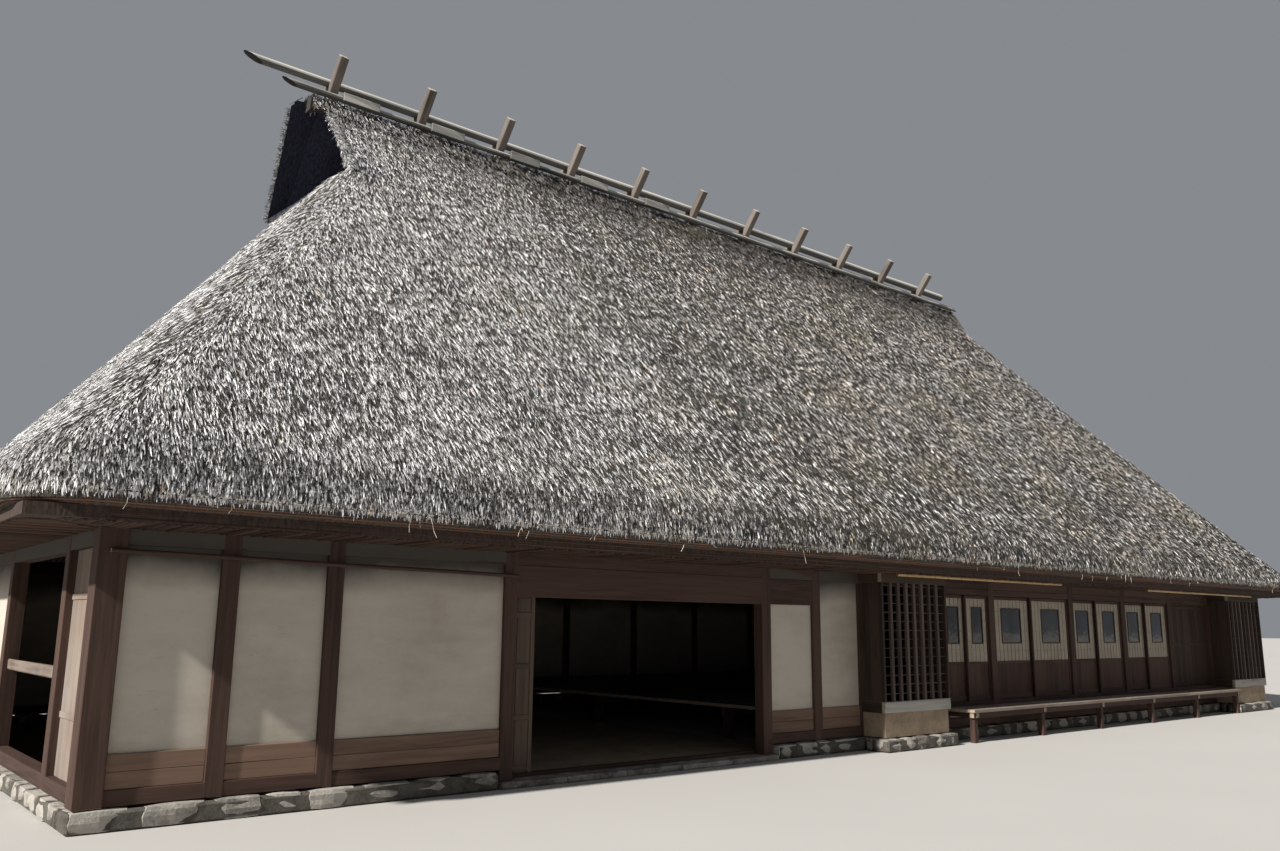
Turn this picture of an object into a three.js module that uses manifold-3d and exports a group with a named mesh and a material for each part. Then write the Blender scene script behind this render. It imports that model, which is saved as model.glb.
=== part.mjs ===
// Minka farmhouse: a long, low, timber-framed house under a thick thatched roof.
// Millimetres, +Z up. The origin is on the ground under the middle of the roof,
// +X runs along the ridge to the right, and the front faces -Y.

import * as THREE from 'three';
import { mergeVertices } from 'three/addons/utils/BufferGeometryUtils.js';
import Module from 'manifold-3d';

const wasm = await Module();
wasm.setup();

// Driving dimensions
const HALF_KEN = 909;            // the building's module
const LENGTH_MODULES = 24;       // front wall, post centre to post centre
const DEPTH_MODULES = 10;        // end wall, post centre to post centre
const GAP = 0.3;                 // between pieces that touch
const RUN = 6;                   // between a sliding leaf and what it passes

const POST = 150;                // square posts
const CORNER_POST = 210;
const STONE_TOP = 170;           // top of the stone footing
const STONE_DEPTH = 320;
const SILL_TOP = 290;            // top of the ground beam
const FLOOR_TOP = 500;           // top of the raised floor
const FLOOR_THICK = 45;
const EARTH_TOP = 60;            // top of the beaten earth floor
const THRESHOLD = 70;            // height of the beam that the screens run on
const PLATE_TOP = 2240;          // top of the wall plate
const PLATE_HEIGHT = 130;
const LINTEL_BOTTOM = 1800;      // deep beam over the entrance
const SCREEN_HEAD = 2020;        // underside of the head rail over the screens
const DAUB = 70;                 // thickness of the daubed walls

const EAVE_OUT = 850;            // thatch lip beyond the wall's centre line
const EAVE_SETBACK = 110;        // reed band behind the lip
const THATCH_BOTTOM = 2330;
const THATCH_THICK = 640;        // square to the slope, with its battens
const LIP_SHOULDER = 2650;       // where the straight slope starts
const LIP_INSET = 105;
const RIDGE_TOP = 8720;
const RIDGE_HALF = 130;
const RIDGE_RIGHT = 7440;        // right end of the ridge
const GABLE_X = -7950;           // foot of the smoke gable
const GABLE_FOOT = 7300;
const VERGE_FRONT = -7790;       // edge of the straw on the gable's front side
const VERGE_BACK = -7965;        // and on its back side, at the foot
const HOOD_OUT = 175;            // the back side leans out by this at the ridge
const RECESS_BACK = -7250;
const RECESS_END = -6400;

const LOG_THIN = 58;             // radius of the log's left end
const LOG_THICK = 74;            // and of its right end
const LOG_NOTCH = 4;             // how deep the log sits into the crossed timbers
const LOG_LEFT = -8870;
const END_SLANT = 0.42;          // the log and poles are cut at this angle at their left ends
const LOG_RIGHT = 7320;
const POLE_RADIUS = 48;
const POLE_LEFT = -8400;         // the front pole's left end
const POLE_LEFT_BACK = -7900;
const POLE_RIGHT = 7420;
const SADDLES = 11;
const SADDLE_FIRST = -7610;      // leftmost crossed pair
const SADDLE_STEP = 1397;
const SADDLE_SIZE = 125;
const POLE_SIDE = 215;           // poles beside the ridge
const PLANK_LEFT = -1450;
const PLANK_RIGHT = 7700;
const CAP_DROP = 220;            // how far the bark cap comes down the slopes
const CAP_THICK = 50;
const CAP_LEFT = -7950;          // left end of the bark cap

const DOOR_OUT = 0.44;           // modules that the open door stands past its post
const DOOR_THICK = 40;
const SCREEN_THICK = 30;
const SCREEN_TRACK = 50;         // between the two tracks
const SCREEN_STILE = 32;
const SCREEN_FOOT = 70;          // bottom rail
const SCREEN_TOP = 45;           // top rail
const SCREEN_DADO = 520;         // boards below, up to the middle rail
const SCREEN_LAP = 16;           // each leaf passes the middle of its bay by this
const BAY_OUT = 380;             // lattice bay in front of the wall line
const BAY_SILL = 470;
const BAY_SILL_HEIGHT = 140;
const BAY_BOARD = 35;
const BAY_BARS = 7;
const BAY_BAR = 48;              // width of an upright bar
const BAY_RAILS = 4;
const BAY_RAIL_STEP = 370;
const BAR_BOTTOM = 1040;         // rail across the open bay of the left end
const BAR_HEIGHT = 100;

const BEARER_ROWS = ['front', 'middle', 'back'];
const BEARER_SPREAD = 2900;      // from the middle row to the others, under the raised floor
const BEARER = 120;
const FLOOR_POST = 104;
const FLOOR_POSTS = 8;           // to a row

const VERANDA_OUT = 560;         // front edge, beyond the wall's centre line
const VERANDA_TOP = 445;
const VERANDA_BOARD = 45;
const VERANDA_LEGS = 6;
const RAIL_LEFT_Z = 2060;        // rail along the left wall
const RAIL_RIGHT_Z = 2000;

const HALF_LENGTH = LENGTH_MODULES * HALF_KEN / 2;
const HALF_DEPTH = DEPTH_MODULES * HALF_KEN / 2;
const FRONT = -HALF_DEPTH;
const BACK = HALF_DEPTH;
const LEFT = -HALF_LENGTH;
const RIGHT = HALF_LENGTH;
const PLATE_BOTTOM = PLATE_TOP - PLATE_HEIGHT;

// Post lines, in modules from the left front corner
const FRONT_POSTS = [1, 2, 9, 10, 11.4, 12, 13.4, 16, 18, 20, 22, 23.5];
const BACK_POSTS = [2, 4, 6, 8, 10, 12, 14, 16, 18, 20, 22];
const LEFT_POSTS = [1.2, 4, 6, 8];
const RIGHT_POSTS = [2, 4, 6, 8];
const ENTRANCE = [4, 8];
const SCREEN_BAYS = [[12, 13.4], [13.4, 16], [16, 18], [18, 20]];
const BOARD_BAY = [20, 22];
const LATTICE_BAYS = [[10, 11.4], [22, 23.5]];
const TRUSSES = [5, 9.5, 14.5, 19];
const POLE_SPANS = [[10.2, 14.8], [18, 23]];

const alongFront = (modules) => LEFT + modules * HALF_KEN;
const alongSide = (modules) => FRONT + modules * HALF_KEN;
const TRACK_BITE = 5;            // the door's tracks are let into the posts by this
const TRACK_LEFT = alongFront(2) + POST / 2 - TRACK_BITE;
const TRACK_HEIGHT = 40;
const DOOR_HEAD = LINTEL_BOTTOM + 80;

// Materials
const finish = (color, roughness) => new THREE.MeshStandardMaterial({ color, roughness, metalness: 0 });
const THATCH = finish(0x6f675c, 0.95);
const REED = finish(0x5d4030, 0.9);
const BARK = finish(0x3d352e, 0.95);
const GREY_WOOD = finish(0x8b8880, 0.85);
const DARK_WOOD = finish(0x3f2a20, 0.75);
const BROWN_WOOD = finish(0x5e4636, 0.8);
const SOOTED_WOOD = finish(0x16130f, 0.9);
const PLASTER = finish(0x9a8c76, 0.95);
const EARTH = finish(0x7d6c54, 1);
const STONE = finish(0x8d887c, 0.95);
const PAPER = finish(0xcfc4a8, 0.9);
const BAMBOO = finish(0xb08a55, 0.6);

const mix = (a, b, t) => a + (b - a) * t;
// Places of `count` like things from `first` to `last`
const evenly = (count, first, last) => Array.from(
  { length: count }, (_, index) => mix(first, last, index / (count - 1)));

const house = new THREE.Group();

function piece(name, geometry, material) {
  const mesh = new THREE.Mesh(geometry, material);
  mesh.name = name;
  house.add(mesh);
}

// Solids
function toSolid(geometry) {
  const bare = geometry.clone();
  bare.deleteAttribute('normal');
  bare.deleteAttribute('uv');
  const merged = mergeVertices(bare, 1e-3);
  return new wasm.Manifold(new wasm.Mesh({
    numProp: 3,
    vertProperties: new Float32Array(merged.attributes.position.array),
    triVerts: new Uint32Array(merged.index.array),
  }));
}

function toGeometry(solid) {
  const mesh = solid.getMesh();
  const geometry = new THREE.BufferGeometry();
  geometry.setAttribute('position', new THREE.BufferAttribute(new Float32Array(mesh.vertProperties), 3));
  geometry.setIndex(new THREE.BufferAttribute(new Uint32Array(mesh.triVerts), 1));
  geometry.computeVertexNormals();
  return geometry;
}

const join = (solids) => solids.reduce((whole, solid) => whole.add(solid));
const cut = (solid, cutters) => cutters.reduce((rest, cutter) => rest.subtract(cutter), solid);

// A box from its two corners, grown by `grow` on every side
function slab([x0, y0, z0], [x1, y1, z1], grow = 0) {
  const box = new THREE.BoxGeometry(x1 - x0 + 2 * grow, y1 - y0 + 2 * grow, z1 - z0 + 2 * grow);
  box.translate((x0 + x1) / 2, (y0 + y1) / 2, (z0 + z1) / 2);
  return box;
}

const block = (low, high, grow = 0) => toSolid(slab(low, high, grow));

// A round timber between two points
function log(from, to, radius, endRadius = radius, sides = 10) {
  const start = new THREE.Vector3(...from);
  const axis = new THREE.Vector3(...to).sub(start);
  const timber = new THREE.CylinderGeometry(endRadius, radius, axis.length(), sides);
  timber.translate(0, axis.length() / 2, 0);
  timber.applyQuaternion(new THREE.Quaternion().setFromUnitVectors(
    new THREE.Vector3(0, 1, 0), axis.clone().normalize()));
  timber.translate(...from);
  return toSolid(timber);
}

// A squared timber between two points of one YZ plane
function beamInSlope(x, from, to, size) {
  const rise = Math.atan2(to[1] - from[1], to[0] - from[0]);
  const length = Math.hypot(to[0] - from[0], to[1] - from[1]);
  const timber = new THREE.BoxGeometry(size, length, size);
  timber.rotateX(rise);
  timber.translate(x, (from[0] + to[0]) / 2, (from[1] + to[1]) / 2);
  return toSolid(timber);
}

// Stone footing and floors
function addFooting() {
  const half = STONE_DEPTH / 2;
  const doorMargin = POST / 2 + 20;
  const leftEnd = alongFront(ENTRANCE[0]) - doorMargin;
  const rightStart = alongFront(ENTRANCE[1]) + doorMargin;
  const apron = LATTICE_BAYS.map(([from, to]) => block(
    [alongFront(from) - POST, FRONT - half - BAY_OUT, 0],
    [alongFront(to) + POST, FRONT, STONE_TOP]));
  const right = block([rightStart, FRONT - half, 0], [RIGHT + half, FRONT + half, STONE_TOP]);
  const left = block([LEFT - half, FRONT - half, 0], [leftEnd, FRONT + half, STONE_TOP]);
  const doorWay = block([TRACK_LEFT - GAP, FRONT + POST / 2 - TRACK_BITE - GAP, -1],
    [leftEnd + 1, FRONT + half + 1, STONE_TOP + 1]);
  const endStones = (x) => slab([x - half, FRONT + half + GAP, 0], [x + half, BACK - half - GAP, STONE_TOP]);
  piece('footing_front_left', toGeometry(left.subtract(doorWay)), STONE);
  piece('footing_front_right', toGeometry(join([right, ...apron])), STONE);
  piece('footing_back', slab([LEFT - half, BACK - half, 0], [RIGHT + half, BACK + half, STONE_TOP]), STONE);
  piece('footing_left', endStones(LEFT), STONE);
  piece('footing_right', endStones(RIGHT), STONE);
  piece('entrance_stone', slab(
    [leftEnd + GAP, FRONT - half, 0], [rightStart - GAP, FRONT + half, EARTH_TOP]), STONE);
}

function addFloors() {
  const inset = STONE_DEPTH / 2 + GAP;
  const change = alongFront(ENTRANCE[1] + 1);
  piece('earth_floor', slab([LEFT + inset, FRONT + inset, 0], [change, BACK - inset, EARTH_TOP]), EARTH);

  const inner = POST / 2 + GAP;
  const boards = block(
    [change, FRONT + inner, FLOOR_TOP - FLOOR_THICK], [RIGHT - inner, BACK - inner, FLOOR_TOP]);
  const corners = [FRONT, BACK].map((y) => block(
    [RIGHT - CORNER_POST / 2, y - CORNER_POST / 2, 0],
    [RIGHT + CORNER_POST / 2, y + CORNER_POST / 2, PLATE_TOP], GAP));
  piece('raised_floor', toGeometry(cut(boards, corners)), BROWN_WOOD);
  BEARER_ROWS.forEach((name, row) => {
    const timber = floorBearer(change + 60, RIGHT - inset - 20, (row - 1) * BEARER_SPREAD);
    piece(`floor_bearer_${name}`, toGeometry(timber), DARK_WOOD);
  });
}

// A bearer along the house on short posts that are let into it
function floorBearer(start, end, y) {
  const top = FLOOR_TOP - FLOOR_THICK - GAP;
  const half = FLOOR_POST / 2;
  const bearer = block([start, y - BEARER / 2, top - BEARER], [end, y + BEARER / 2, top]);
  const posts = evenly(FLOOR_POSTS, start + 70, end - 70).map((x) => block(
    [x - half, y - half, 0], [x + half, y + half, top - BEARER + 20]));
  return join([bearer, ...posts]);
}

// Timber frames and daubed walls
const crossFront = (modules, bottom, top, size = POST) => {
  const x = alongFront(modules);
  return [[x - size / 2, FRONT - size / 2, bottom], [x + size / 2, FRONT + size / 2, top]];
};

const beamFront = (from, to, bottom, top) => [
  [alongFront(from), FRONT - POST / 2, bottom], [alongFront(to), FRONT + POST / 2, top]];

// A daub panel between two front post lines, clear of the posts at its ends
const daubFront = (from, to, bottom, top, endPost = POST, startPost = POST) => [
  [alongFront(from) + startPost / 2 + GAP, FRONT - DAUB / 2, bottom + GAP],
  [alongFront(to) - endPost / 2 - GAP, FRONT + DAUB / 2, top - GAP]];

const toBlocks = (pairs, grow = 0) => pairs.map(([low, high]) => block(low, high, grow));

function addFrontFrame(walls) {
  const posts = [
    crossFront(0, STONE_TOP + GAP, PLATE_TOP, CORNER_POST),
    crossFront(LENGTH_MODULES, STONE_TOP + GAP, PLATE_TOP, CORNER_POST),
    ...ENTRANCE.map((modules) => crossFront(modules, EARTH_TOP + GAP, PLATE_TOP)),
    ...FRONT_POSTS.map((modules) => crossFront(modules, STONE_TOP + GAP, PLATE_TOP)),
  ];
  const beams = [
    beamFront(0, ENTRANCE[0], STONE_TOP + GAP, SILL_TOP),
    beamFront(ENTRANCE[1], LENGTH_MODULES, STONE_TOP + GAP, SILL_TOP),
    beamFront(0, LENGTH_MODULES, PLATE_BOTTOM, PLATE_TOP),
    beamFront(ENTRANCE[0], ENTRANCE[1] + 1, LINTEL_BOTTOM, PLATE_BOTTOM),
    beamFront(12, 22, SCREEN_HEAD, PLATE_BOTTOM),
    beamFront(12, 22, FLOOR_TOP - THRESHOLD, FLOOR_TOP),
  ];
  const tracks = [EARTH_TOP + GAP, DOOR_HEAD].map((bottom) => block(
    [TRACK_LEFT, FRONT + POST / 2 - TRACK_BITE, bottom],
    [alongFront(ENTRANCE[1]), FRONT + POST / 2 + 2 * DOOR_THICK + TRACK_BITE, bottom + TRACK_HEIGHT]));
  const whole = join([...toBlocks([...posts, ...beams]), ...tracks]);
  piece('front_frame', toGeometry(cut(whole, toBlocks(walls, GAP))), DARK_WOOD);
}

function addFrontWalls() {
  const left = daubFront(0, 4, SILL_TOP, PLATE_BOTTOM, POST, CORNER_POST);
  const besideDoor = daubFront(8, 10, SILL_TOP, LINTEL_BOTTOM);
  const overDoorEnd = daubFront(9, 10, SILL_TOP, PLATE_BOTTOM);
  const narrow = daubFront(11.4, 12, SILL_TOP, PLATE_BOTTOM);
  const low = daubFront(11.4, 22, SILL_TOP, FLOOR_TOP - THRESHOLD);
  const right = daubFront(23.5, 24, SILL_TOP, PLATE_BOTTOM, CORNER_POST);
  piece('front_wall_left', slab(...left), PLASTER);
  piece('front_wall_middle', toGeometry(join(toBlocks([besideDoor, overDoorEnd]))), PLASTER);
  piece('front_wall_low', toGeometry(join(toBlocks([narrow, low]))), PLASTER);
  piece('front_wall_right', slab(...right), PLASTER);
  addFrontFrame([left, besideDoor, overDoorEnd, narrow, low, right]);
}

function addBackWall() {
  const toBack = ([x, y, z]) => [x, y + 2 * HALF_DEPTH, z];
  const move = ([low, high]) => [toBack(low), toBack(high)];
  const wall = move(daubFront(0, LENGTH_MODULES, SILL_TOP, PLATE_BOTTOM, CORNER_POST, CORNER_POST));
  const timbers = [
    crossFront(0, STONE_TOP + GAP, PLATE_TOP, CORNER_POST),
    crossFront(LENGTH_MODULES, STONE_TOP + GAP, PLATE_TOP, CORNER_POST),
    ...BACK_POSTS.map((modules) => crossFront(modules, STONE_TOP + GAP, PLATE_TOP)),
    beamFront(0, LENGTH_MODULES, STONE_TOP + GAP, SILL_TOP),
    beamFront(0, LENGTH_MODULES, PLATE_BOTTOM, PLATE_TOP),
  ].map(move);
  piece('back_wall', slab(...wall), PLASTER);
  piece('back_frame', toGeometry(cut(join(toBlocks(timbers)), toBlocks([wall], GAP))), DARK_WOOD);
}

// An end wall: timbers at x, daub between two post lines, with any open bay left out
function addEndWall(name, x, posts, daubFrom) {
  const low = FRONT + CORNER_POST / 2 + GAP;
  const high = BACK - CORNER_POST / 2 - GAP;
  const start = daubFrom === 0 ? low : alongSide(daubFrom) + POST / 2 + GAP;
  const wall = [[x - DAUB / 2, start, SILL_TOP + GAP], [x + DAUB / 2, high, PLATE_BOTTOM - GAP]];
  const beam = (bottom, top) => [[x - POST / 2, low, bottom], [x + POST / 2, high, top]];
  const timbers = [beam(STONE_TOP + GAP, SILL_TOP), beam(PLATE_BOTTOM, PLATE_TOP)];
  posts.forEach((modules) => {
    const y = alongSide(modules);
    timbers.push([
      [x - POST / 2, y - POST / 2, STONE_TOP + GAP], [x + POST / 2, y + POST / 2, PLATE_TOP]]);
  });
  piece(`${name}_wall`, slab(...wall), PLASTER);
  piece(`${name}_frame`, toGeometry(cut(join(toBlocks(timbers)), toBlocks([wall], GAP))), DARK_WOOD);
}

// The open bay of the left end: a board panel by the corner and a rail across the rest
function addStableBay() {
  const panelHalf = 20;
  const barHalf = 30;
  const post = alongSide(LEFT_POSTS[0]);
  const nextPost = alongSide(LEFT_POSTS[1]);
  const toPost = POST / 2 + GAP;
  piece('left_board_panel', slab(
    [LEFT - panelHalf, FRONT + CORNER_POST / 2 + GAP, SILL_TOP + GAP],
    [LEFT + panelHalf, post - toPost, PLATE_BOTTOM - GAP]), BROWN_WOOD);
  piece('left_bar', slab(
    [LEFT - barHalf, post + toPost, BAR_BOTTOM],
    [LEFT + barHalf, nextPost - toPost, BAR_BOTTOM + BAR_HEIGHT]), BROWN_WOOD);
}

// Lattice bays
function bayFrame(x0, x1, y0, y1) {
  return join(toBlocks([
    [[x0, y0, BAY_SILL], [x0 + BAY_BOARD, y1, PLATE_TOP]],
    [[x1 - BAY_BOARD, y0, BAY_SILL], [x1, y1, PLATE_TOP]],
    [[x0, y0, BAY_SILL], [x1, y0 + 60, BAY_SILL + BAY_SILL_HEIGHT]],
    [[x0, y0, BAY_SILL], [x1, y1, BAY_SILL + BAY_BOARD]],
    [[x0, y0, PLATE_BOTTOM], [x1, y1, PLATE_TOP]],
  ]));
}

function bayLattice(left, right, y0) {
  const sillTop = BAY_SILL + BAY_SILL_HEIGHT;
  const pitch = (right - left) / (BAY_BARS + 1);
  const bars = evenly(BAY_BARS, left + pitch, right - pitch).map((x) => [
    [x - BAY_BAR / 2, y0 + 5, sillTop + GAP], [x + BAY_BAR / 2, y0 + 50, PLATE_BOTTOM - GAP]]);
  const rails = evenly(BAY_RAILS, sillTop + 180, sillTop + 180 + (BAY_RAILS - 1) * BAY_RAIL_STEP).map((z) => [
    [left, y0 + 35, z], [right, y0 + 60, z + 35]]);
  return join(toBlocks([...bars, ...rails]));
}

// The earthen base that the bay's sill stands on
function bayBase(x0, x1, y0, y1) {
  const wall = 80;
  const low = STONE_TOP + GAP;
  const high = BAY_SILL - GAP;
  return join(toBlocks([
    [[x0, y0, low], [x1, y0 + wall, high]],
    [[x0, y0, low], [x0 + wall, y1, high]],
    [[x1 - wall, y0, low], [x1, y1, high]],
  ]));
}

function addLatticeBay(number, [from, to]) {
  const x0 = alongFront(from) - POST / 2;
  const x1 = alongFront(to) + POST / 2;
  const y0 = FRONT - POST / 2 - BAY_OUT;
  const y1 = FRONT - POST / 2 - GAP;
  const clear = BAY_BOARD + GAP;
  const setBack = 30;
  piece(`bay_${number}_frame`, toGeometry(bayFrame(x0, x1, y0, y1)), BROWN_WOOD);
  piece(`bay_${number}_lattice`, toGeometry(bayLattice(x0 + clear, x1 - clear, y0)), BROWN_WOOD);
  piece(`bay_${number}_base`, toGeometry(bayBase(x0 + setBack, x1 - setBack, y0 + setBack, y1)), EARTH);
}

// Sliding screens, two to a bay on two tracks
function screenLeaf(x0, x1, y) {
  const y0 = y - SCREEN_THICK / 2;
  const y1 = y + SCREEN_THICK / 2;
  const z0 = FLOOR_TOP + GAP;
  const z1 = SCREEN_HEAD - RUN;
  const dadoTop = FLOOR_TOP + SCREEN_DADO;
  const panelHalf = 4;
  return toGeometry(join(toBlocks([
    [[x0, y0, z0], [x0 + SCREEN_STILE, y1, z1]],
    [[x1 - SCREEN_STILE, y0, z0], [x1, y1, z1]],
    [[x0, y0, z0], [x1, y1, z0 + SCREEN_FOOT]],
    [[x0, y0, z1 - SCREEN_TOP], [x1, y1, z1]],
    [[x0, y0, dadoTop], [x1, y1, dadoTop + 35]],
    [[x0, y - panelHalf, z0], [x1, y + panelHalf, z1]],
  ])));
}

function addScreens() {
  SCREEN_BAYS.forEach(([from, to], bay) => {
    const x0 = alongFront(from) + POST / 2 + RUN;
    const x1 = alongFront(to) - POST / 2 - RUN;
    const half = (x1 - x0) / 2 + SCREEN_LAP;
    piece(`screen_${bay + 1}_left`, screenLeaf(x0, x0 + half, FRONT + SCREEN_TRACK / 2), PAPER);
    piece(`screen_${bay + 1}_right`, screenLeaf(x1 - half, x1, FRONT - SCREEN_TRACK / 2), PAPER);
  });
  const wall = daubFront(BOARD_BAY[0], BOARD_BAY[1], FLOOR_TOP, SCREEN_HEAD);
  piece('board_wall', slab(
    [wall[0][0], FRONT + 10, wall[0][2]], [wall[1][0], FRONT + 50, wall[1][2]]), DARK_WOOD);
}

function addEntranceDoor() {
  const right = alongFront(ENTRANCE[0] + DOOR_OUT);
  const y0 = FRONT + POST / 2 + 20;
  piece('entrance_door', slab(
    [right - 2 * HALF_KEN, y0, EARTH_TOP + TRACK_HEIGHT + 2 * GAP],
    [right, y0 + DOOR_THICK, DOOR_HEAD - RUN]), BROWN_WOOD);
}

// Roof
const SLOPE_RUN = HALF_DEPTH + EAVE_OUT - LIP_INSET - RIDGE_HALF;
const SLOPE = (RIDGE_TOP - LIP_SHOULDER) / SLOPE_RUN;
const THICK_ACROSS = THATCH_THICK * Math.sqrt(1 + SLOPE * SLOPE) / SLOPE;
const LIP_LEFT = LEFT - EAVE_OUT;
const LIP_RIGHT = RIGHT + EAVE_OUT;
const LIP_FRONT = HALF_DEPTH + EAVE_OUT;

const ROOF_ABOVE = 10000;        // higher than anything on the roof

// Half width and end positions of the roof's outside at height z
function roofPlan(z) {
  const t = (z - LIP_SHOULDER) / (RIDGE_TOP - LIP_SHOULDER);
  const sag = 60 * Math.sin(Math.PI * Math.min(Math.max(t, 0), 1));
  const half = LIP_FRONT - LIP_INSET - t * SLOPE_RUN - sag;
  const right = mix(LIP_RIGHT - LIP_INSET, RIDGE_RIGHT, t) - 2 * sag;
  const hip = (z - LIP_SHOULDER) / (GABLE_FOOT - LIP_SHOULDER);
  const verge = (z - GABLE_FOOT) / (RIDGE_TOP - GABLE_FOOT);
  const left = hip < 1
    ? mix(LIP_LEFT + LIP_INSET, GABLE_X, hip) + 1.5 * sag
    : VERGE_BACK - verge * HOOD_OUT;
  const frontLeft = hip < 1 ? left : VERGE_FRONT;
  return { z, left, frontLeft, right, half };
}

// Where the lines of the left hips would meet, past the gable
const gableHalf = roofPlan(GABLE_FOOT).half;
const HIP_LEFT_TIP = GABLE_X + gableHalf * (GABLE_X - LIP_LEFT) / (LIP_FRONT - gableHalf);

// A rounded rectangle in plan, from the right end round to the front
function outline(plan, rightRadius, leftRadius = rightRadius, cornerSteps = 6) {
  const { z, left, right, half, frontLeft = left } = plan;
  const most = half * 0.95;
  const r = Math.min(rightRadius, most);
  const l = Math.min(leftRadius, most);
  const corners = [
    [right - r, half - r, r], [left + l, half - l, l], [frontLeft + l, l - half, l], [right - r, r - half, r]];
  const points = [];
  corners.forEach(([x, y, radius], quarter) => {
    for (let step = 0; step <= cornerSteps; step += 1) {
      const angle = (quarter + step / cornerSteps) * Math.PI / 2;
      points.push([x + radius * Math.cos(angle), y + radius * Math.sin(angle), z]);
    }
  });
  return points;
}

// A closed body through a stack of outlines with equal numbers of points
function loft(rings) {
  const count = rings[0].length;
  const positions = rings.flat(2);
  const index = [];
  for (let level = 0; level + 1 < rings.length; level += 1) {
    for (let i = 0; i < count; i += 1) {
      const a = level * count + i;
      const b = level * count + (i + 1) % count;
      index.push(a, b, b + count, a, b + count, a + count);
    }
  }
  const top = (rings.length - 1) * count;
  for (let i = 1; i + 1 < count; i += 1) {
    index.push(0, i + 1, i);
    index.push(top, top + i, top + i + 1);
  }
  const geometry = new THREE.BufferGeometry();
  geometry.setAttribute('position', new THREE.BufferAttribute(new Float32Array(positions), 3));
  geometry.setIndex(index);
  return geometry;
}

function roofOutside(grow = 0) {
  const lip = roofPlan(LIP_SHOULDER);
  const widen = (plan, by, z) => ({
    z, left: plan.left - by, frontLeft: plan.frontLeft - by, right: plan.right + by, half: plan.half + by });
  const rings = [
    outline(widen(lip, LIP_INSET - 95 + grow, THATCH_BOTTOM), 500),
    outline(widen(lip, LIP_INSET - 12 + grow, THATCH_BOTTOM + 35), 540),
    outline(widen(lip, LIP_INSET + grow, THATCH_BOTTOM + 110), 560),
    outline(widen(lip, LIP_INSET - 35 + grow, THATCH_BOTTOM + 210), 570),
    outline(widen(lip, grow, LIP_SHOULDER), 580),
  ];
  const heights = [3400, 4300, 5200, 6100, 6800, GABLE_FOOT - 60, GABLE_FOOT + 60, 7700, 8200, 8500];
  heights.forEach((z) => {
    const plan = roofPlan(z);
    const hipRadius = z < 7000 ? 560 : 330;
    rings.push(outline(widen(plan, grow, z), 560, z < GABLE_FOOT ? hipRadius : 110));
  });
  rings.push(outline(widen(roofPlan(RIDGE_TOP - 60), grow, RIDGE_TOP - 60 + grow), 200, 80));
  rings.push(outline(widen(roofPlan(RIDGE_TOP), grow - 60, RIDGE_TOP + grow), 120, 30));
  return toSolid(loft(rings));
}

// The attic under the thatch, made smaller by `shrink`
function roofInside(shrink = 0) {
  const across = THICK_ACROSS + shrink;
  const ring = (z) => {
    const t = (z - LIP_SHOULDER) / (RIDGE_TOP - LIP_SHOULDER);
    const half = LIP_FRONT - LIP_INSET - t * SLOPE_RUN - across;
    const left = mix(LIP_LEFT + LIP_INSET, GABLE_X + 200, t * 1.25) + across;
    const right = mix(LIP_RIGHT - LIP_INSET, RIDGE_RIGHT, t) - across - 60;
    return outline({ z, left, right, half }, 60, 60, 2);
  };
  const apex = RIDGE_TOP - (THICK_ACROSS + shrink - RIDGE_HALF + 30) * SLOPE;
  return toSolid(loft([ring(THATCH_BOTTOM - 60), ring(LIP_SHOULDER), ring(apex)]));
}

// The hollow of the smoke gable: at its mouth the straw is thin, and it thickens towards the back
function gableHollow(shrink = 0) {
  const section = (x, cover, foot) => {
    const peak = RIDGE_TOP - cover * 1.35 - shrink * 1.5;
    const half = (peak - foot) / SLOPE + 40 - shrink * 1.5;
    const low = foot + shrink;
    return [[x, -half, low], [x, half, low], [x, 110 - shrink, peak], [x, shrink - 110, peak]];
  };
  const mouth = section(GABLE_X - 500, 15, GABLE_FOOT + 30);
  const verge = section(VERGE_FRONT + 40, 25, GABLE_FOOT + 30);
  const middle = section(VERGE_FRONT + 340, 230, GABLE_FOOT + 30);
  const end = section(RECESS_END, 520, GABLE_FOOT - 250);
  return toSolid(loft([mouth, verge, middle, end]));
}

// The wedge of plan between a hip end's two corners and the point where its hip lines meet
function hipWedge(tip, side, top, grow = 0) {
  const reach = 1.5;
  const edgeX = side < 0 ? LIP_LEFT : LIP_RIGHT;
  const apex = tip - side * grow * 1.5;
  const far = (y) => new THREE.Vector2(
    apex + (edgeX - tip) * reach, y * (LIP_FRONT * reach + grow));
  const shape = new THREE.Shape([new THREE.Vector2(apex, 0), far(-side), far(side)]);
  return toSolid(new THREE.ExtrudeGeometry(shape, { depth: top + grow, bevelEnabled: false }));
}

function addThatch() {
  const shell = cut(roofOutside(), [roofInside(), gableHollow()]);
  const gablePlan = roofPlan(GABLE_FOOT);
  const leftTip = HIP_LEFT_TIP;
  const rightTip = RIDGE_RIGHT - RIDGE_HALF;
  const leftTop = gablePlan.z + 40;
  const hips = (grow) => [hipWedge(leftTip, -1, leftTop, grow), hipWedge(rightTip, 1, ROOF_ABOVE, grow)];
  const halfSpace = (low, high) => block([-ROOF_ABOVE * 2, low, 0], [ROOF_ABOVE * 2, high, ROOF_ABOVE]);
  const slopes = cut(shell, hips(GAP));
  const [leftHip, rightHip] = hips(0);
  piece('thatch_front', toGeometry(slopes.intersect(halfSpace(-ROOF_ABOVE, -GAP / 2))), THATCH);
  piece('thatch_back', toGeometry(slopes.intersect(halfSpace(GAP / 2, ROOF_ABOVE))), THATCH);
  piece('thatch_left', toGeometry(shell.intersect(leftHip)), THATCH);
  piece('thatch_right', toGeometry(shell.intersect(rightHip)), THATCH);
}

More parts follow.
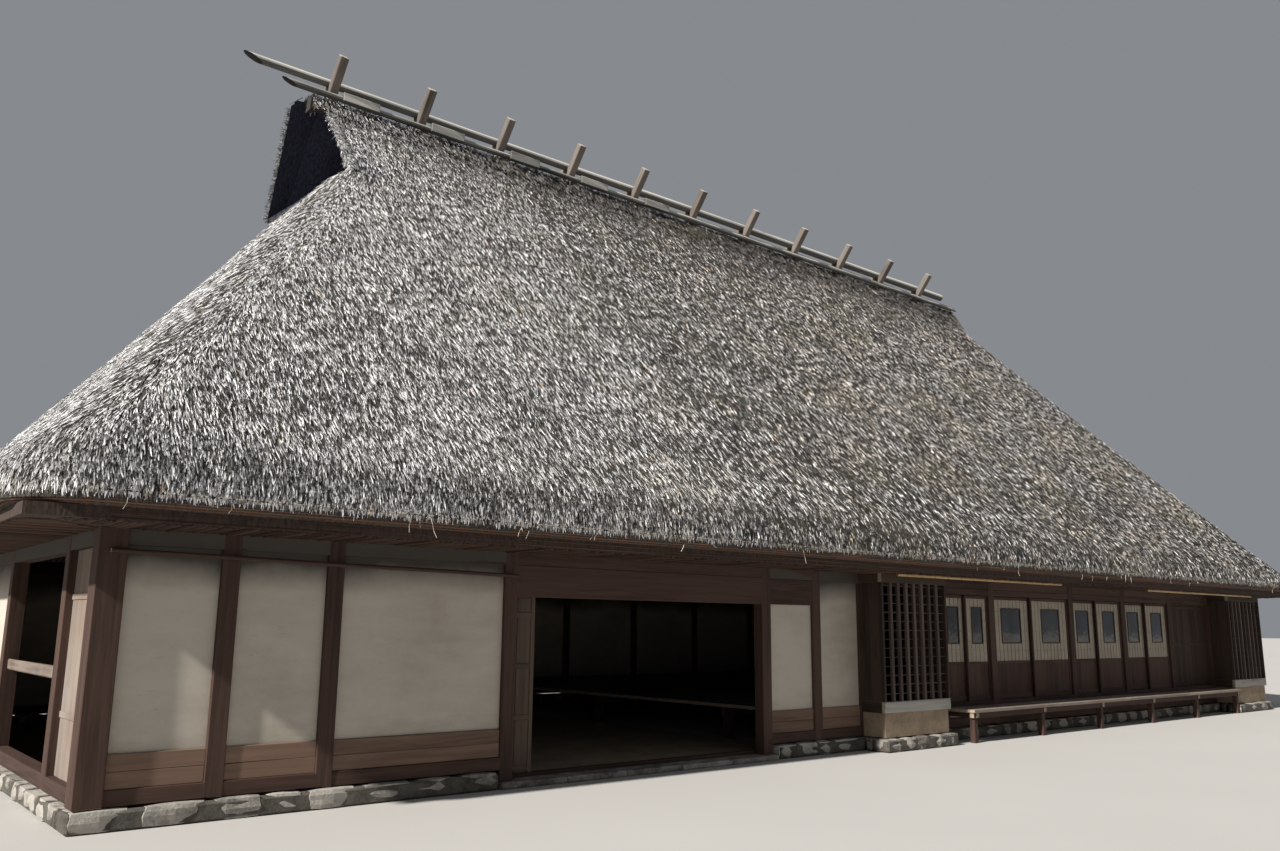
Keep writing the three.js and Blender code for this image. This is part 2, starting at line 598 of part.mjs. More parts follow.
// Bands of reed and bark under the lip, from the wall plate outwards
function addEaves(trusses) {
  const out = EAVE_OUT - EAVE_SETBACK;
  const z0 = PLATE_TOP + GAP;
  const z1 = THATCH_BOTTOM - GAP;
  const frontBand = block([LEFT - out, FRONT - out, z0], [RIGHT + out, FRONT, z1]);
  const backBand = block([LEFT - out, BACK, z0], [RIGHT + out, BACK + out, z1]);
  piece('eave_front', toGeometry(cut(frontBand, trusses)), REED);
  piece('eave_back', toGeometry(cut(backBand, trusses)), REED);
  piece('eave_left', slab([LEFT - out, FRONT + GAP, z0], [LEFT, BACK - GAP, z1]), REED);
  piece('eave_right', slab([RIGHT, FRONT + GAP, z0], [RIGHT + out, BACK - GAP, z1]), REED);
}

// Cross beams, each with a pair of slanting rafters that carry the thatch
function addTrusses() {
  const beamRadius = 105;
  const rafterRadius = 90;
  const beamZ = PLATE_TOP + GAP + beamRadius;
  const drop = (rafterRadius + 1) * Math.sqrt(1 + SLOPE * SLOPE);
  const insideHalf = (z) => LIP_FRONT - LIP_INSET - (z - LIP_SHOULDER) / SLOPE - THICK_ACROSS;
  const foot = insideHalf(beamZ + drop);
  const apexZ = beamZ + foot * SLOPE;
  const room = roofInside(1);
  const notches = [];
  TRUSSES.forEach((modules, index) => {
    const x = alongFront(modules);
    const end = foot + 60;
    const beam = log([x, -end, beamZ], [x, end, beamZ], beamRadius);
    const front = log([x, -foot, beamZ], [x, 0, apexZ], rafterRadius);
    const back = log([x, foot, beamZ], [x, 0, apexZ], rafterRadius);
    const clear = block([x - 500, -LIP_FRONT, PLATE_TOP + GAP], [x + 500, LIP_FRONT, ROOF_ABOVE]);
    const truss = join([beam, front, back]).intersect(room).intersect(clear);
    piece(`truss_${index + 1}`, toGeometry(truss), SOOTED_WOOD);
    const half = beamRadius + GAP;
    notches.push(block([x - half, -end - GAP, PLATE_TOP], [x + half, end + GAP, PLATE_TOP + 500]));
  });
  return notches;
}

// Ridge: a bark cap, crossed saddle timbers with their poles, and the long log on top
function ridgeCap(grow = 0) {
  const spread = RIDGE_HALF + CAP_DROP / SLOPE + 20 + grow;
  const low = RIDGE_TOP - CAP_DROP;
  const shoulder = RIDGE_TOP + CAP_THICK - 10 + grow;
  const profile = new THREE.Shape([
    [-spread, low], [0, low - 60], [spread, low], [RIDGE_HALF, shoulder],
    [0, RIDGE_TOP + CAP_THICK + 25 + grow], [-RIDGE_HALF, shoulder],
  ].map(([y, z]) => new THREE.Vector2(y, z)));
  const left = CAP_LEFT - grow;
  const right = RIDGE_RIGHT + 60 + grow;
  const cap = new THREE.ExtrudeGeometry(profile, { depth: right - left, bevelEnabled: false });
  cap.rotateX(Math.PI / 2);
  cap.rotateZ(Math.PI / 2);
  cap.translate(left, 0, 0);
  return toSolid(cap);
}

function addRidgeCap() {
  const far = RIDGE_RIGHT * 2;
  const hollow = block([-far, -RIDGE_HALF * 2, RIDGE_TOP - CAP_DROP - 100],
    [far, RIDGE_HALF * 2, RIDGE_TOP - 150]);
  const slantedEnd = roofOutside().translate([-1, -1, 0]);
  piece('ridge_bark', toGeometry(cut(ridgeCap(), [roofOutside(1), slantedEnd, hollow])), BARK);
}

const SADDLE_LEAN = 1.26;        // rise over run of the crossed timbers
const CROSSING = 8924;           // height where their middle lines meet
// Height above the crossing, at `y`, of something that lies `out` from the timbers' middle line
const onSaddle = (y, out) => CROSSING - Math.abs(y) * SADDLE_LEAN + out * Math.hypot(1, SADDLE_LEAN);
const logHeight = (radius) => onSaddle(0, radius + SADDLE_SIZE / 2 - LOG_NOTCH);

// The slanting cut at the left end of a timber whose top edge ends at this point
function slantingCut(x, y, z) {
  const size = 600;
  const bite = new THREE.BoxGeometry(size, POLE_SIDE, size);
  bite.translate(0, 0, -size / 2);
  bite.rotateY(END_SLANT);
  bite.translate(x, y, z);
  return toSolid(bite);
}

function ridgeLog(grow = 0) {
  const low = logHeight(LOG_THIN);
  const timber = log([LOG_LEFT, 0, low], [LOG_RIGHT, 0, logHeight(LOG_THICK)],
    LOG_THIN + grow, LOG_THICK + grow, 12);
  return timber.subtract(slantingCut(LOG_LEFT, 0, low + LOG_THIN));
}

function addSaddles() {
  const half = SADDLE_SIZE / 2;
  const foot = 260;
  const reach = 370;
  const timbers = [];
  for (let index = 0; index < SADDLES; index += 1) {
    const x = SADDLE_FIRST + index * SADDLE_STEP;
    timbers.push(beamInSlope(x, [-reach, CROSSING + reach * SADDLE_LEAN],
      [foot, CROSSING - foot * SADDLE_LEAN], SADDLE_SIZE));
    timbers.push(beamInSlope(x, [-foot, CROSSING - foot * SADDLE_LEAN],
      [150, CROSSING + 150 * SADDLE_LEAN], SADDLE_SIZE));
  }
  const poleZ = onSaddle(POLE_SIDE, half + POLE_RADIUS - 6);
  [[-POLE_SIDE, POLE_LEFT], [POLE_SIDE, POLE_LEFT_BACK]].forEach(([y, left]) => {
    const pole = log([left, y, poleZ], [POLE_RIGHT, y, poleZ], POLE_RADIUS, POLE_RADIUS, 8);
    timbers.push(pole.subtract(slantingCut(left, y, poleZ + POLE_RADIUS)));
  });
  const plank = new THREE.BoxGeometry(PLANK_RIGHT - PLANK_LEFT, 130, 30);
  plank.rotateX(Math.atan(SADDLE_LEAN));
  plank.translate((PLANK_LEFT + PLANK_RIGHT) / 2, -120, onSaddle(120, half + 13));
  timbers.push(toSolid(plank));
  const saddles = cut(join(timbers), [roofOutside(1), ridgeCap(GAP), ridgeLog(GAP)]);
  piece('ridge_saddles', toGeometry(saddles), GREY_WOOD);
  piece('ridge_log', toGeometry(ridgeLog()), GREY_WOOD);
}

// The dark board screen that stands back in the smoke gable, with a slot over it
function addGableScreen() {
  const screen = block([RECESS_BACK - 25, -900, GABLE_FOOT], [RECESS_BACK + 25, 900, RIDGE_TOP - 780]);
  piece('gable_screen', toGeometry(screen.intersect(gableHollow(GAP))), SOOTED_WOOD);
}

// Narrow open veranda in front of the screens
function addVeranda() {
  const from = alongFront(12) - POST / 2;
  const to = alongFront(22) - POST / 2 - BAY_BOARD;
  const y0 = FRONT - VERANDA_OUT;
  const y1 = FRONT - POST / 2 - GAP;
  const under = VERANDA_TOP - VERANDA_BOARD;
  const solids = [[[from, y0, under], [to, y1, VERANDA_TOP]]];
  evenly(VERANDA_LEGS, from + 200, to - 200).forEach((x) => {
    solids.push([[x - 40, y0 + 30, 0], [x + 40, y0 + 110, under - 30]]);
    solids.push([[x - 32, y0 + 15, under - 70], [x + 32, y1 - 10, under + 10]]);
  });
  piece('veranda', toGeometry(join(toBlocks(solids))), BROWN_WOOD);
}

// Poles hung close under the eave, and a rail along the left wall
function addPoles() {
  const thick = 24;
  const thin = 19;
  const z = PLATE_TOP - thick;
  const y = FRONT - POST / 2 - BAY_OUT - 60;
  POLE_SPANS.forEach(([from, to], index) => {
    const pole = log([alongFront(from), y, z], [alongFront(to), y, z], thick, thin, 8);
    piece(`bamboo_pole_${index + 1}`, toGeometry(pole), BAMBOO);
  });
  const railRadius = 20;
  const railY = FRONT - CORNER_POST / 2 - railRadius - GAP;
  const rail = log([alongFront(0) - railRadius, railY, RAIL_LEFT_Z],
    [alongFront(4) + 2 * railRadius, railY, RAIL_RIGHT_Z], railRadius, 0.85 * railRadius, 8);
  piece('wall_rail', toGeometry(rail), BROWN_WOOD);
}

addFooting();
addFloors();
addFrontWalls();
addBackWall();
addEndWall('left', LEFT, LEFT_POSTS, LEFT_POSTS[1]);
addEndWall('right', RIGHT, RIGHT_POSTS, 0);
addStableBay();
LATTICE_BAYS.forEach((bay, index) => addLatticeBay(index + 1, bay));
addScreens();
addEntranceDoor();
const trusses = addTrusses();
addEaves(trusses);
addThatch();
addRidgeCap();
addSaddles();
addGableScreen();
addVeranda();
addPoles();

export default house;
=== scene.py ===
"""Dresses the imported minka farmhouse: thatch, timbers, daub, screens, stones, ridge and stage.

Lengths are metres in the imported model's own frame: +X along the ridge to the right, the front
faces -Y, +Z is up, and the ground is at 0.
"""

import math
from itertools import pairwise, product

import bpy
import numpy as np
from bpy.props import FloatProperty, FloatVectorProperty, IntProperty, PointerProperty
from mathutils import Matrix, Vector


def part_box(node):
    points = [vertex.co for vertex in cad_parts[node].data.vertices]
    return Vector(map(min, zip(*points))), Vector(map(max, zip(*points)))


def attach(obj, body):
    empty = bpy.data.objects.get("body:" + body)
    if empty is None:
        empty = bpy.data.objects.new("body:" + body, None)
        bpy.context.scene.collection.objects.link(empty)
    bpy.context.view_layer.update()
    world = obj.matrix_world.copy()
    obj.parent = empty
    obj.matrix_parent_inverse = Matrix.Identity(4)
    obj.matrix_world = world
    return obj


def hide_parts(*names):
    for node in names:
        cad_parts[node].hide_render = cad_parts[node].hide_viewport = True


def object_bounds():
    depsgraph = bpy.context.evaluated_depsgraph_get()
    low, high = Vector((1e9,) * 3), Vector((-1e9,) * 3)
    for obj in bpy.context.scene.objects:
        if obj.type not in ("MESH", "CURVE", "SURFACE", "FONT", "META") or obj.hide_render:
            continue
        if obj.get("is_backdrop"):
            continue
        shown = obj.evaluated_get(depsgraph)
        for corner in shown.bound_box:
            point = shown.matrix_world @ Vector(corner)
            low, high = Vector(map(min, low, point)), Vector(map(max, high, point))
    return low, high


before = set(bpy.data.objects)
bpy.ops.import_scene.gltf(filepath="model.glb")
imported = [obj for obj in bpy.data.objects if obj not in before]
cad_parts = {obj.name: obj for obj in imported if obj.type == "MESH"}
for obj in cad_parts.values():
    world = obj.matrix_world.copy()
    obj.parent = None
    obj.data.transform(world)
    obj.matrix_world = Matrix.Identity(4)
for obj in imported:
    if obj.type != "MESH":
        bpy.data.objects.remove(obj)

CAD_LOW, CAD_HIGH = (np.array(corner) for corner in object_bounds())

bl_info = {
    "name": "Minka Farmhouse",
    "version": (1, 0, 0),
    "blender": (4, 5, 0),
    "location": "View3D > Sidebar > Farmhouse",
    "description": "Dresses a thatched timber farmhouse around its packed model",
    "category": "Object",
}

# The building's module, and its post lines in modules from the left front corner
HALF_KEN = 0.909
LENGTH_MODULES = 24
DEPTH_MODULES = 10
FRONT_POSTS = (1, 2, 4, 8, 9, 10, 11.4, 12, 13.4, 16, 18, 20, 22, 23.5)
ENTRANCE = (4, 8)
SCREEN_RUN = (12, 22)
LATTICE_BAYS = ((10, 11.4), (22, 23.5))
BACK_POSTS = (2, 4, 6, 8, 10, 12, 14, 16, 18, 20, 22)
LEFT_POSTS = (1.2, 4, 6, 8)
RIGHT_POSTS = (2, 4, 6, 8)
LEFT = -LENGTH_MODULES * HALF_KEN / 2
RIGHT = -LEFT
FRONT = -DEPTH_MODULES * HALF_KEN / 2
BACK = -FRONT

# Heights and sections that the timber frames share
POST = 0.15
CORNER_POST = 0.21
STONE_TOP = 0.1703
SILL_TOP = 0.29
FLOOR_TOP = 0.5
EARTH_TOP = 0.06
LINTEL_BOTTOM = 1.80
SCREEN_HEAD = 2.02
PLATE_BOTTOM = 2.11
PLATE_TOP = 2.24
BEAM_SETBACK = 0.003
RUNNER_WEAR = 0.0004

# Roof
GABLE_FOOT = 7.3
RIDGE_TOP = 8.72
RIDGE_HALF = 0.13
SLOPE = 1.2172
VERGE_FRONT = -7.79
VERGE_BACK = -7.965
HOOD_OUT = 0.175
EAVE_OUT = 0.74
LIP_SHOULDER = 2.75
LIP_X = 11.758
LIP_Y = 5.395
LIP_CORNER = 0.56
FRINGE_BOTTOM = 2.412

# The front's straw is laid in bands, from left to right
FRONT_BANDS = ((-99, -4.7), (-4.7, 2.1), (2.1, 99))

# Crossed timbers of the ridge
ARMS = 11
ARM_START = -7.61
ARM_PITCH = 1.397
ARM_SIZE = 0.125
ARM_LEAN = 1.26
CROSSING = 8.924
LOG_SLANT = 2.24

# Viewing place of the photograph: a rectilinear lens on a 36 mm frame
CAMERA_PLACE = (-12.910, -13.332, 1.527)
CAMERA_LENS = 29.06
CAMERA_YAW = math.radians(39.808)
CAMERA_PITCH = math.radians(10.980)
CAMERA_ROLL = math.radians(0.524)

# The stage: how far its floor reaches, where the key light comes from, and its colour
FLOOR_REACH = 260.0
KEY_FROM = (-0.81, -0.11, 0.57)
KEY_COLOUR = (1.0, 0.955, 0.89)

# How long and wide the gaps in the straw are, and how deep one is before it shows
GAP_LENGTH = 0.13
GAP_WIDTH = 0.032
GAP_DEPTH = -0.52

DOWN = np.array((0, 0, -1.0))
SIGNS = (-1, 1)


def along_front(modules):
    return LEFT + modules * HALF_KEN


def along_side(modules):
    return FRONT + modules * HALF_KEN


def box_of(node):
    """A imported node's lowest and highest corners."""
    return [np.array(corner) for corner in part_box(node)]


def crosswise(point, along_x):
    """A point given along a wall, across it and up, in the model's own frame."""
    along, across, z = point
    return (along, across, z) if along_x else (across, along, z)


# Settings that a user would change
def tint(name, description, default):
    return FloatVectorProperty(
        name=name, description=description, default=default, subtype="COLOR", size=3, min=0, max=1)


def measure(name, description, default):
    return FloatProperty(name=name, description=description, default=default, unit="LENGTH", min=0)


def amount(name, description, default, subtype="NONE"):
    return FloatProperty(name=name, description=description, default=default, subtype=subtype)


def tally(name, description, default):
    return IntProperty(name=name, description=description, default=default)


class FarmhouseThatch(bpy.types.PropertyGroup):
    """Straw of the roof"""

    front_straws: tally("Front straws", "Tufts in each band of the front", 104000)
    back_straws: tally("Back straws", "Tufts on the back slope", 68000)
    left_straws: tally("Left straws", "Tufts on the left hip", 62000)
    right_straws: tally("Right straws", "Tufts on the right hip", 32000)
    gable_straws: tally("Gable straws", "Cut ends round the smoke gable", 2600)
    cap_straws: tally("Cap straws", "Straws piled on the ridge cap", 36000)
    loose_strands: tally("Loose strands", "Stalks that hang from the eave", 70)
    length: measure("Tuft length", "Usual length of a tuft", 0.12)
    width: measure("Tuft width", "Width of a tuft at its root", 0.0118)
    lift: amount("Lift", "How far a tuft stands off the slope", 0.07, "ANGLE")
    spread: amount("Spread", "How far tufts turn from the fall line", 0.17, "ANGLE")
    silver: tint("Silver straw", "Weathered, sun-bleached straw", (0.86, 0.86, 0.88))
    straw: tint("Warm straw", "Less weathered straw", (0.75, 0.69, 0.61))
    moss: tint("Moss", "Olive moss on the damp patches", (0.13, 0.12, 0.065))
    gap: tint("Gaps", "Shade between the tufts", (0.014, 0.012, 0.011))
    fleck: tint("Flecks", "Broken golden stalks", (0.62, 0.47, 0.31))


class FarmhouseTimber(bpy.types.PropertyGroup):
    """Woods of the frame, boards and ridge"""

    chamfer: measure("Chamfer", "Width taken off the edges of posts", 0.006)
    post_dark: tint("Post, dark", "Dark grain of posts and beams", (0.014, 0.008, 0.007))
    post_light: tint("Post, light", "Light grain of posts and beams", (0.060, 0.033, 0.025))
    board_dark: tint("Board, dark", "Dark grain of boards", (0.040, 0.028, 0.022))
    board_light: tint("Board, light", "Light grain of boards", (0.17, 0.125, 0.098))
    lattice_dark: tint("Lattice, dark", "Dark grain of the lattice bays", (0.010, 0.007, 0.006))
    lattice_light: tint("Lattice, light", "Light grain of the lattice bays", (0.085, 0.062, 0.052))
    grey_dark: tint("Log, dark", "Cracks and grain of the ridge logs", (0.045, 0.042, 0.038))
    grey_light: tint("Log, light", "Silvered surface of the ridge logs", (0.50, 0.49, 0.46))
    soot_dark: tint("Soot, dark", "Roof timbers in the smoke", (0.005, 0.004, 0.004))
    soot_light: tint("Soot, light", "Worn places on the roof timbers", (0.03, 0.025, 0.022))
    sawn: tint("Sawn ends", "End grain", (0.42, 0.34, 0.25))
    bamboo: tint("Bamboo", "Dry bamboo poles", (0.55, 0.36, 0.17))
    rope: tint("Rope", "Straw rope on the ridge", (0.62, 0.56, 0.44))


class FarmhouseWall(bpy.types.PropertyGroup):
    """Daub, earth and stone"""

    plaster: tint("Plaster", "Earthen plaster", (0.47, 0.43, 0.372))
    plaster_dark: tint("Plaster, damp", "Stains and patches", (0.36, 0.32, 0.27))
    soot: tint("Soot", "Smoke stain under the eave", (0.040, 0.036, 0.033))
    earth: tint("Earth", "Beaten earth floor", (0.29, 0.225, 0.16))
    stone: tint("Stone", "Footing stones", (0.33, 0.31, 0.28))
    stone_dark: tint("Stone, dark", "Joints and damp stone", (0.10, 0.092, 0.08))
    stone_length: measure("Stone length", "Usual length of a footing stone", 0.42)


class FarmhouseScreens(bpy.types.PropertyGroup):
    """Sliding paper screens"""

    paper: tint("Paper", "Aged screen paper", (0.37, 0.33, 0.27))
    muntin: measure("Muntin", "Width of the thin bars behind the paper", 0.008)
    row: measure("Row", "Height of one row of paper", 0.148)
    column: measure("Column", "Width of one column of paper", 0.105)
    pane_width: amount("Pane", "Share of a leaf's width that is glass", 0.5)
    pane_bottom: measure("Pane bottom", "Height of the glass pane's lower edge", 1.33)
    pane_top: measure("Pane top", "Height of the glass pane's upper edge", 1.83)


class FarmhouseStage(bpy.types.PropertyGroup):
    """Floor, light and camera"""

    floor: tint("Floor", "Plain pale floor", (0.45, 0.44, 0.425))
    backdrop: tint("Backdrop", "Pale surrounding light", (0.78, 0.82, 0.88))
    backdrop_strength: amount("Backdrop strength", "Soft light all round", 0.31)
    sun_strength: amount("Key strength", "Light from the left front", 7.2)
    sun_size: amount("Key size", "Softness of shadows", 0.03, "ANGLE")


SETTINGS = {
    "farmhouse_thatch": FarmhouseThatch,
    "farmhouse_timber": FarmhouseTimber,
    "farmhouse_wall": FarmhouseWall,
    "farmhouse_screens": FarmhouseScreens,
    "farmhouse_stage": FarmhouseStage,
}


# Shapes
def chamfered_box_faces():
    """Faces of a box whose edges are taken off, with three points to a corner, one for each face."""
    quads, tips = [], []

    def point(signs, first, face):
        """A corner's point on one face, from its signs on axis `first` and the two after it."""
        return 3 * int((np.roll(signs, first) > 0) @ (4, 2, 1)) + face % 3

    for a in range(3):
        for sign in SIGNS:
            square = ((-1, -1), (1, -1), (1, 1), (-1, 1))[::sign]
            quads.append([point((sign, b, c), a, a) for b, c in square])
        for b, c in product(SIGNS, SIGNS):
            strip = ((-1, 1), (1, 1), (1, 2), (-1, 2))
            ring = [point((end, b, c), a, a + face) for end, face in strip]
            quads.append(ring[::-1] if b * c > 0 else ring)
    for signs in product(SIGNS, repeat=3):
        tip = [point(signs, 0, face) for face in range(3)]
        tips.append(tip if math.prod(signs) > 0 else tip[::-1])
    return np.array(quads), np.array(tips)


def cobble_grid(steps=4):
    """Points and faces of a cube with `steps` cells to an edge, its shared points merged."""
    places, faces = {}, []
    for a, sign, i, j in product(range(3), SIGNS, range(steps), range(steps)):
        ring = []
        for di, dj in ((0, 0), (1, 0), (1, 1), (0, 1))[::sign]:
            key = tuple(np.roll((steps * (sign > 0), i + di, j + dj), a).tolist())
            ring.append(places.setdefault(key, len(places)))
        faces.append(ring)
    return np.array(list(places)) * 2.0 / steps - 1, np.array(faces)


BOX_SIGNS = np.array(list(product(SIGNS, repeat=3)), float)
BOX_QUADS, BOX_TIPS = chamfered_box_faces()
COBBLE_POINTS, COBBLE_FACES = cobble_grid()


def tube_quads(rows, sides, closed=False):
    """Faces between `rows` rings of points, and from the last to the first where it is closed."""
    row = np.arange(rows)[:, None] * sides
    beyond = np.roll(row, -1, axis=0)
    if not closed:
        row, beyond = row[:-1], beyond[:-1]
    step = np.arange(sides)
    following = (step + 1) % sides
    quads = np.stack([row + step, beyond + step, beyond + following, row + following], axis=-1)
    return quads.reshape(-1, 4)


def ripple(points, scale, seed, waves=18):
    """Smooth random height at each point, mostly between -1 and 1, with bumps about `scale` across."""
    random = np.random.default_rng(seed)
    height = np.zeros(len(points))
    for _ in range(waves):
        direction = random.normal(size=3)
        direction /= np.linalg.norm(direction) * scale * random.uniform(0.7, 1.6)
        height += np.sin(points @ direction * math.tau + random.uniform(0, math.tau))
    return height / math.sqrt(waves / 2) / 1.6


def unit(vectors):
    return vectors / np.maximum(np.linalg.norm(vectors, axis=-1, keepdims=True), 1e-9)


def circle(sides):
    return np.linspace(0, math.tau, sides, endpoint=False)


class Pieces:
    """Gathers shapes into one mesh. Each point keeps its place along its own timber, as "grain",
    and as "marks" the timber's shade, a sawn end, and a second random number."""

    def __init__(self, seed):
        self.random = np.random.default_rng(seed)
        self.points, self.grain, self.marks = [], [], []
        self.loops, self.sizes = [], []
        self.count = 0

    def add(self, points, faces, grain, marks):
        for ring in faces:
            ring = np.asarray(ring) + self.count
            self.loops.append(ring.ravel())
            self.sizes.append(np.full(len(ring), ring.shape[1]))
        self.points.append(points)
        self.grain.append(grain)
        self.marks.append(np.broadcast_to(marks, points.shape))
        self.count += len(points)

    def shade(self):
        return self.random.uniform(0, 1), self.random.uniform(0, 1)

    def block(self, centre, size, edge=0.004, along=0, wear=0.0, basis=None):
        """A timber or board of `size` about `centre`, with its edges taken off."""
        half = np.asarray(size, float) / 2
        edge = min(edge, half.min() * 0.6)
        corners = BOX_SIGNS * half + self.random.uniform(-wear, wear, (8, 3))
        local = np.repeat(corners, 3, axis=0)
        own = np.tile(np.eye(3), (8, 1))
        local -= np.repeat(BOX_SIGNS, 3, axis=0) * edge * (1 - own)
        order = [along, (along + 1) % 3, (along + 2) % 3]
        grain = local[:, order] + self.random.uniform(0, 40, 3)
        shade, other = self.shade()
        marks = np.stack([np.full(24, shade), own[:, along], np.full(24, other)], axis=1)
        turned = local if basis is None else local @ basis.T
        self.add(turned + np.asarray(centre), [BOX_QUADS, BOX_TIPS], grain, marks)

    def board(self, low, high, edge=0.003, along=None, wear=0.0):
        """A board between two corners, with its grain along its longest side."""
        low, high = np.array((low, high), float)
        along = int(np.argmax(high - low)) if along is None else along
        self.block((low + high) / 2, high - low, edge, along, wear)

    def beam(self, start, end, width, edge, wear, up):
        """A square timber from `start` to `end`."""
        start, end = np.array((start, end), float)
        run = unit(end - start)
        side = unit(np.cross(up, run))
        basis = np.stack([run, side, np.cross(run, side)], axis=1)
        size = (np.linalg.norm(end - start), width, width)
        self.block((start + end) / 2, size, edge, 0, wear, basis)

    def log(self, start, end, radius, end_radius=None, sides=10, rings=2, wobble=0.0, crook=0.0,
            slant=0.0):
        """A round timber, stalk or pole with closed ends, the first cut back by `slant` underneath."""
        start, end = np.array((start, end), float)
        end_radius = radius if end_radius is None else end_radius
        run = unit(end - start)
        side = unit(np.cross(run, (0.3, 0.2, 1.0)))
        lift = np.cross(run, side)
        share = np.linspace(0, 1, rings)[:, None]
        turn = circle(sides)
        phase = self.random.uniform(0, math.tau, 6)
        thick = radius + (end_radius - radius) * share
        lumps = np.sin(turn * 2 + share * 9 + phase[0]) * np.sin(share * 31 + phase[1])
        thick = thick * (1 + wobble * lumps)
        bend = crook * np.sin(share * math.pi * 2.2 + phase[2])
        sway = crook * np.sin(share * math.pi * 3.4 + phase[3]) * np.sin(share * math.pi)
        across = thick * np.cos(turn) + bend * np.sin(share * math.pi)
        over = thick * np.sin(turn) + sway
        down = share * np.linalg.norm(end - start) + (over + radius) * slant * (1 - share)
        body = start + run * down[..., None] + side * across[..., None] + lift * over[..., None]
        body = body.reshape(-1, 3)
        grain = np.stack([down, across, over], axis=-1).reshape(-1, 3) + self.random.uniform(0, 40, 3)
        ends = np.r_[:sides, len(body) - sides:len(body)]
        shade, other = self.shade()
        marks = np.tile((shade, 0.0, other), (len(body) + len(ends), 1))
        marks[len(body):, 1] = 1.0
        caps = np.stack([np.arange(sides)[::-1], np.arange(sides) + sides]) + len(body)
        self.add(np.concatenate([body, body[ends]]), [tube_quads(rings, sides)[:, ::-1], caps],
                 np.concatenate([grain, grain[ends]]), marks)

    def coil(self, centre, axis, radius, turns, thick, sides=5, steps=10):
        """Rope wound round a timber."""
        axis = unit(np.asarray(axis, float))
        side = unit(np.cross(axis, (0.1, 0.9, 0.3)))
        lift = np.cross(axis, side)
        share = np.linspace(0, 1, int(turns * steps) + 1)[:, None]
        angle = share * turns * math.tau
        out = side * np.cos(angle) + lift * np.sin(angle)
        middle = np.asarray(centre) + out * radius + axis * (share - 0.5) * turns * thick * 2.05
        turn = circle(sides)[:, None]
        ring = (out[:, None] * np.cos(turn) + axis * np.sin(turn)) * thick
        points = (middle[:, None] + ring).reshape(-1, 3)
        quads = np.roll(tube_quads(len(share), sides), -1, axis=1)
        caps = np.stack([np.arange(sides), np.arange(len(points))[:-sides - 1:-1]])
        grain = np.concatenate([angle * radius, share * 0, share * 0], axis=1)
        shade, other = self.shade()
        self.add(points, [quads, caps], np.repeat(grain, sides, axis=0), (shade, 0.0, other))

    def hoop(self, path, thick, sides=5):
        """A thin rod bent along a closed, level path."""
        ahead = unit(np.roll(path, -1, axis=0) - np.roll(path, 1, axis=0))
        out = np.cross(ahead, (0, 0, 1.0))
        turn = circle(sides)[:, None]
        thick = thick * (1 + 0.12 * ripple(path, 0.7, int(self.random.integers(99))))
        ring = (out[:, None] * np.cos(turn) - DOWN * np.sin(turn)) * thick[:, None, None]
        along = np.cumsum(np.linalg.norm(path - np.roll(path, 1, axis=0), axis=1))
        grain = np.stack([np.repeat(along, sides), *ring.reshape(-1, 3)[:, 1:].T], axis=1)
        shade, other = self.shade()
        self.add((path[:, None] + ring).reshape(-1, 3), [tube_quads(len(path), sides, True)], grain,
                 (shade, 0.0, other))

    def stone(self, low, high, roughness=0.05):
        """A rounded field stone that fills the box from `low` to `high`."""
        shape = COBBLE_POINTS * 0.62 + unit(COBBLE_POINTS) * 0.42
        shape /= np.abs(shape).max()
        lumps = ripple(shape + self.random.uniform(0, 50, 3), 1.1, 5, 8) * roughness
        shape = shape * (1 - roughness + np.minimum(lumps, roughness))[:, None]
        lean = self.random.uniform(-0.12, 0.12, 3)
        shape = shape + np.roll(shape, 1, axis=1) * lean * 0.6
        shape /= np.abs(shape).max(axis=0)
        points = (low + high) / 2 + shape * (high - low) / 2
        shade, other = self.shade()
        self.add(points, [COBBLE_FACES], points, (shade, 0.0, other))

    def build(self, name, kind, slot, replaces=(), body="house"):
        """Makes the mesh with the named finish, hangs it under its body's empty, and hides the imported
        nodes that it replaces.
        """
        mesh = bpy.data.meshes.new(name)
        points = np.clip(np.concatenate(self.points), CAD_LOW + 0.001, CAD_HIGH - 0.001)
        loops = np.concatenate(self.loops).astype(np.int32)
        sizes = np.concatenate(self.sizes).astype(np.int32)
        mesh.vertices.add(len(points))
        mesh.vertices.foreach_set("co", points.astype(np.float32).ravel())
        mesh.loops.add(len(loops))
        mesh.loops.foreach_set("vertex_index", loops)
        mesh.polygons.add(len(sizes))
        mesh.polygons.foreach_set("loop_start", (np.cumsum(sizes) - sizes).astype(np.int32))
        mesh.polygons.foreach_set("use_smooth", np.zeros(len(sizes), bool))
        mesh.update(calc_edges=True)
        for title, values in (("grain", self.grain), ("marks", self.marks)):
            layer = mesh.attributes.new(title, "FLOAT_VECTOR", "POINT")
            layer.data.foreach_set("vector", np.concatenate(values).astype(np.float32).ravel())
        mesh.materials.append(finish(kind))
        made = bpy.data.objects.new(name, mesh)
        bpy.context.scene.collection.objects.link(made)
        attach(made, body)
        if replaces:
            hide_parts(*replaces)


def dress(kind, *nodes):
    """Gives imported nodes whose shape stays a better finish."""
    for node in nodes:
        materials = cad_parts[node].data.materials
        materials.clear()
        materials.append(finish(kind))


# Finishes
def toned(colour, factor):
    """A colour made darker or lighter."""
    return tuple(min(1, part * factor) for part in colour)


def picked(colour):
    """A colour as it is, or the setting that it names."""
    if not isinstance(colour, str):
        return colour
    group, title = colour.split(".")
    return getattr(getattr(bpy.context.scene, "farmhouse_" + group), title)


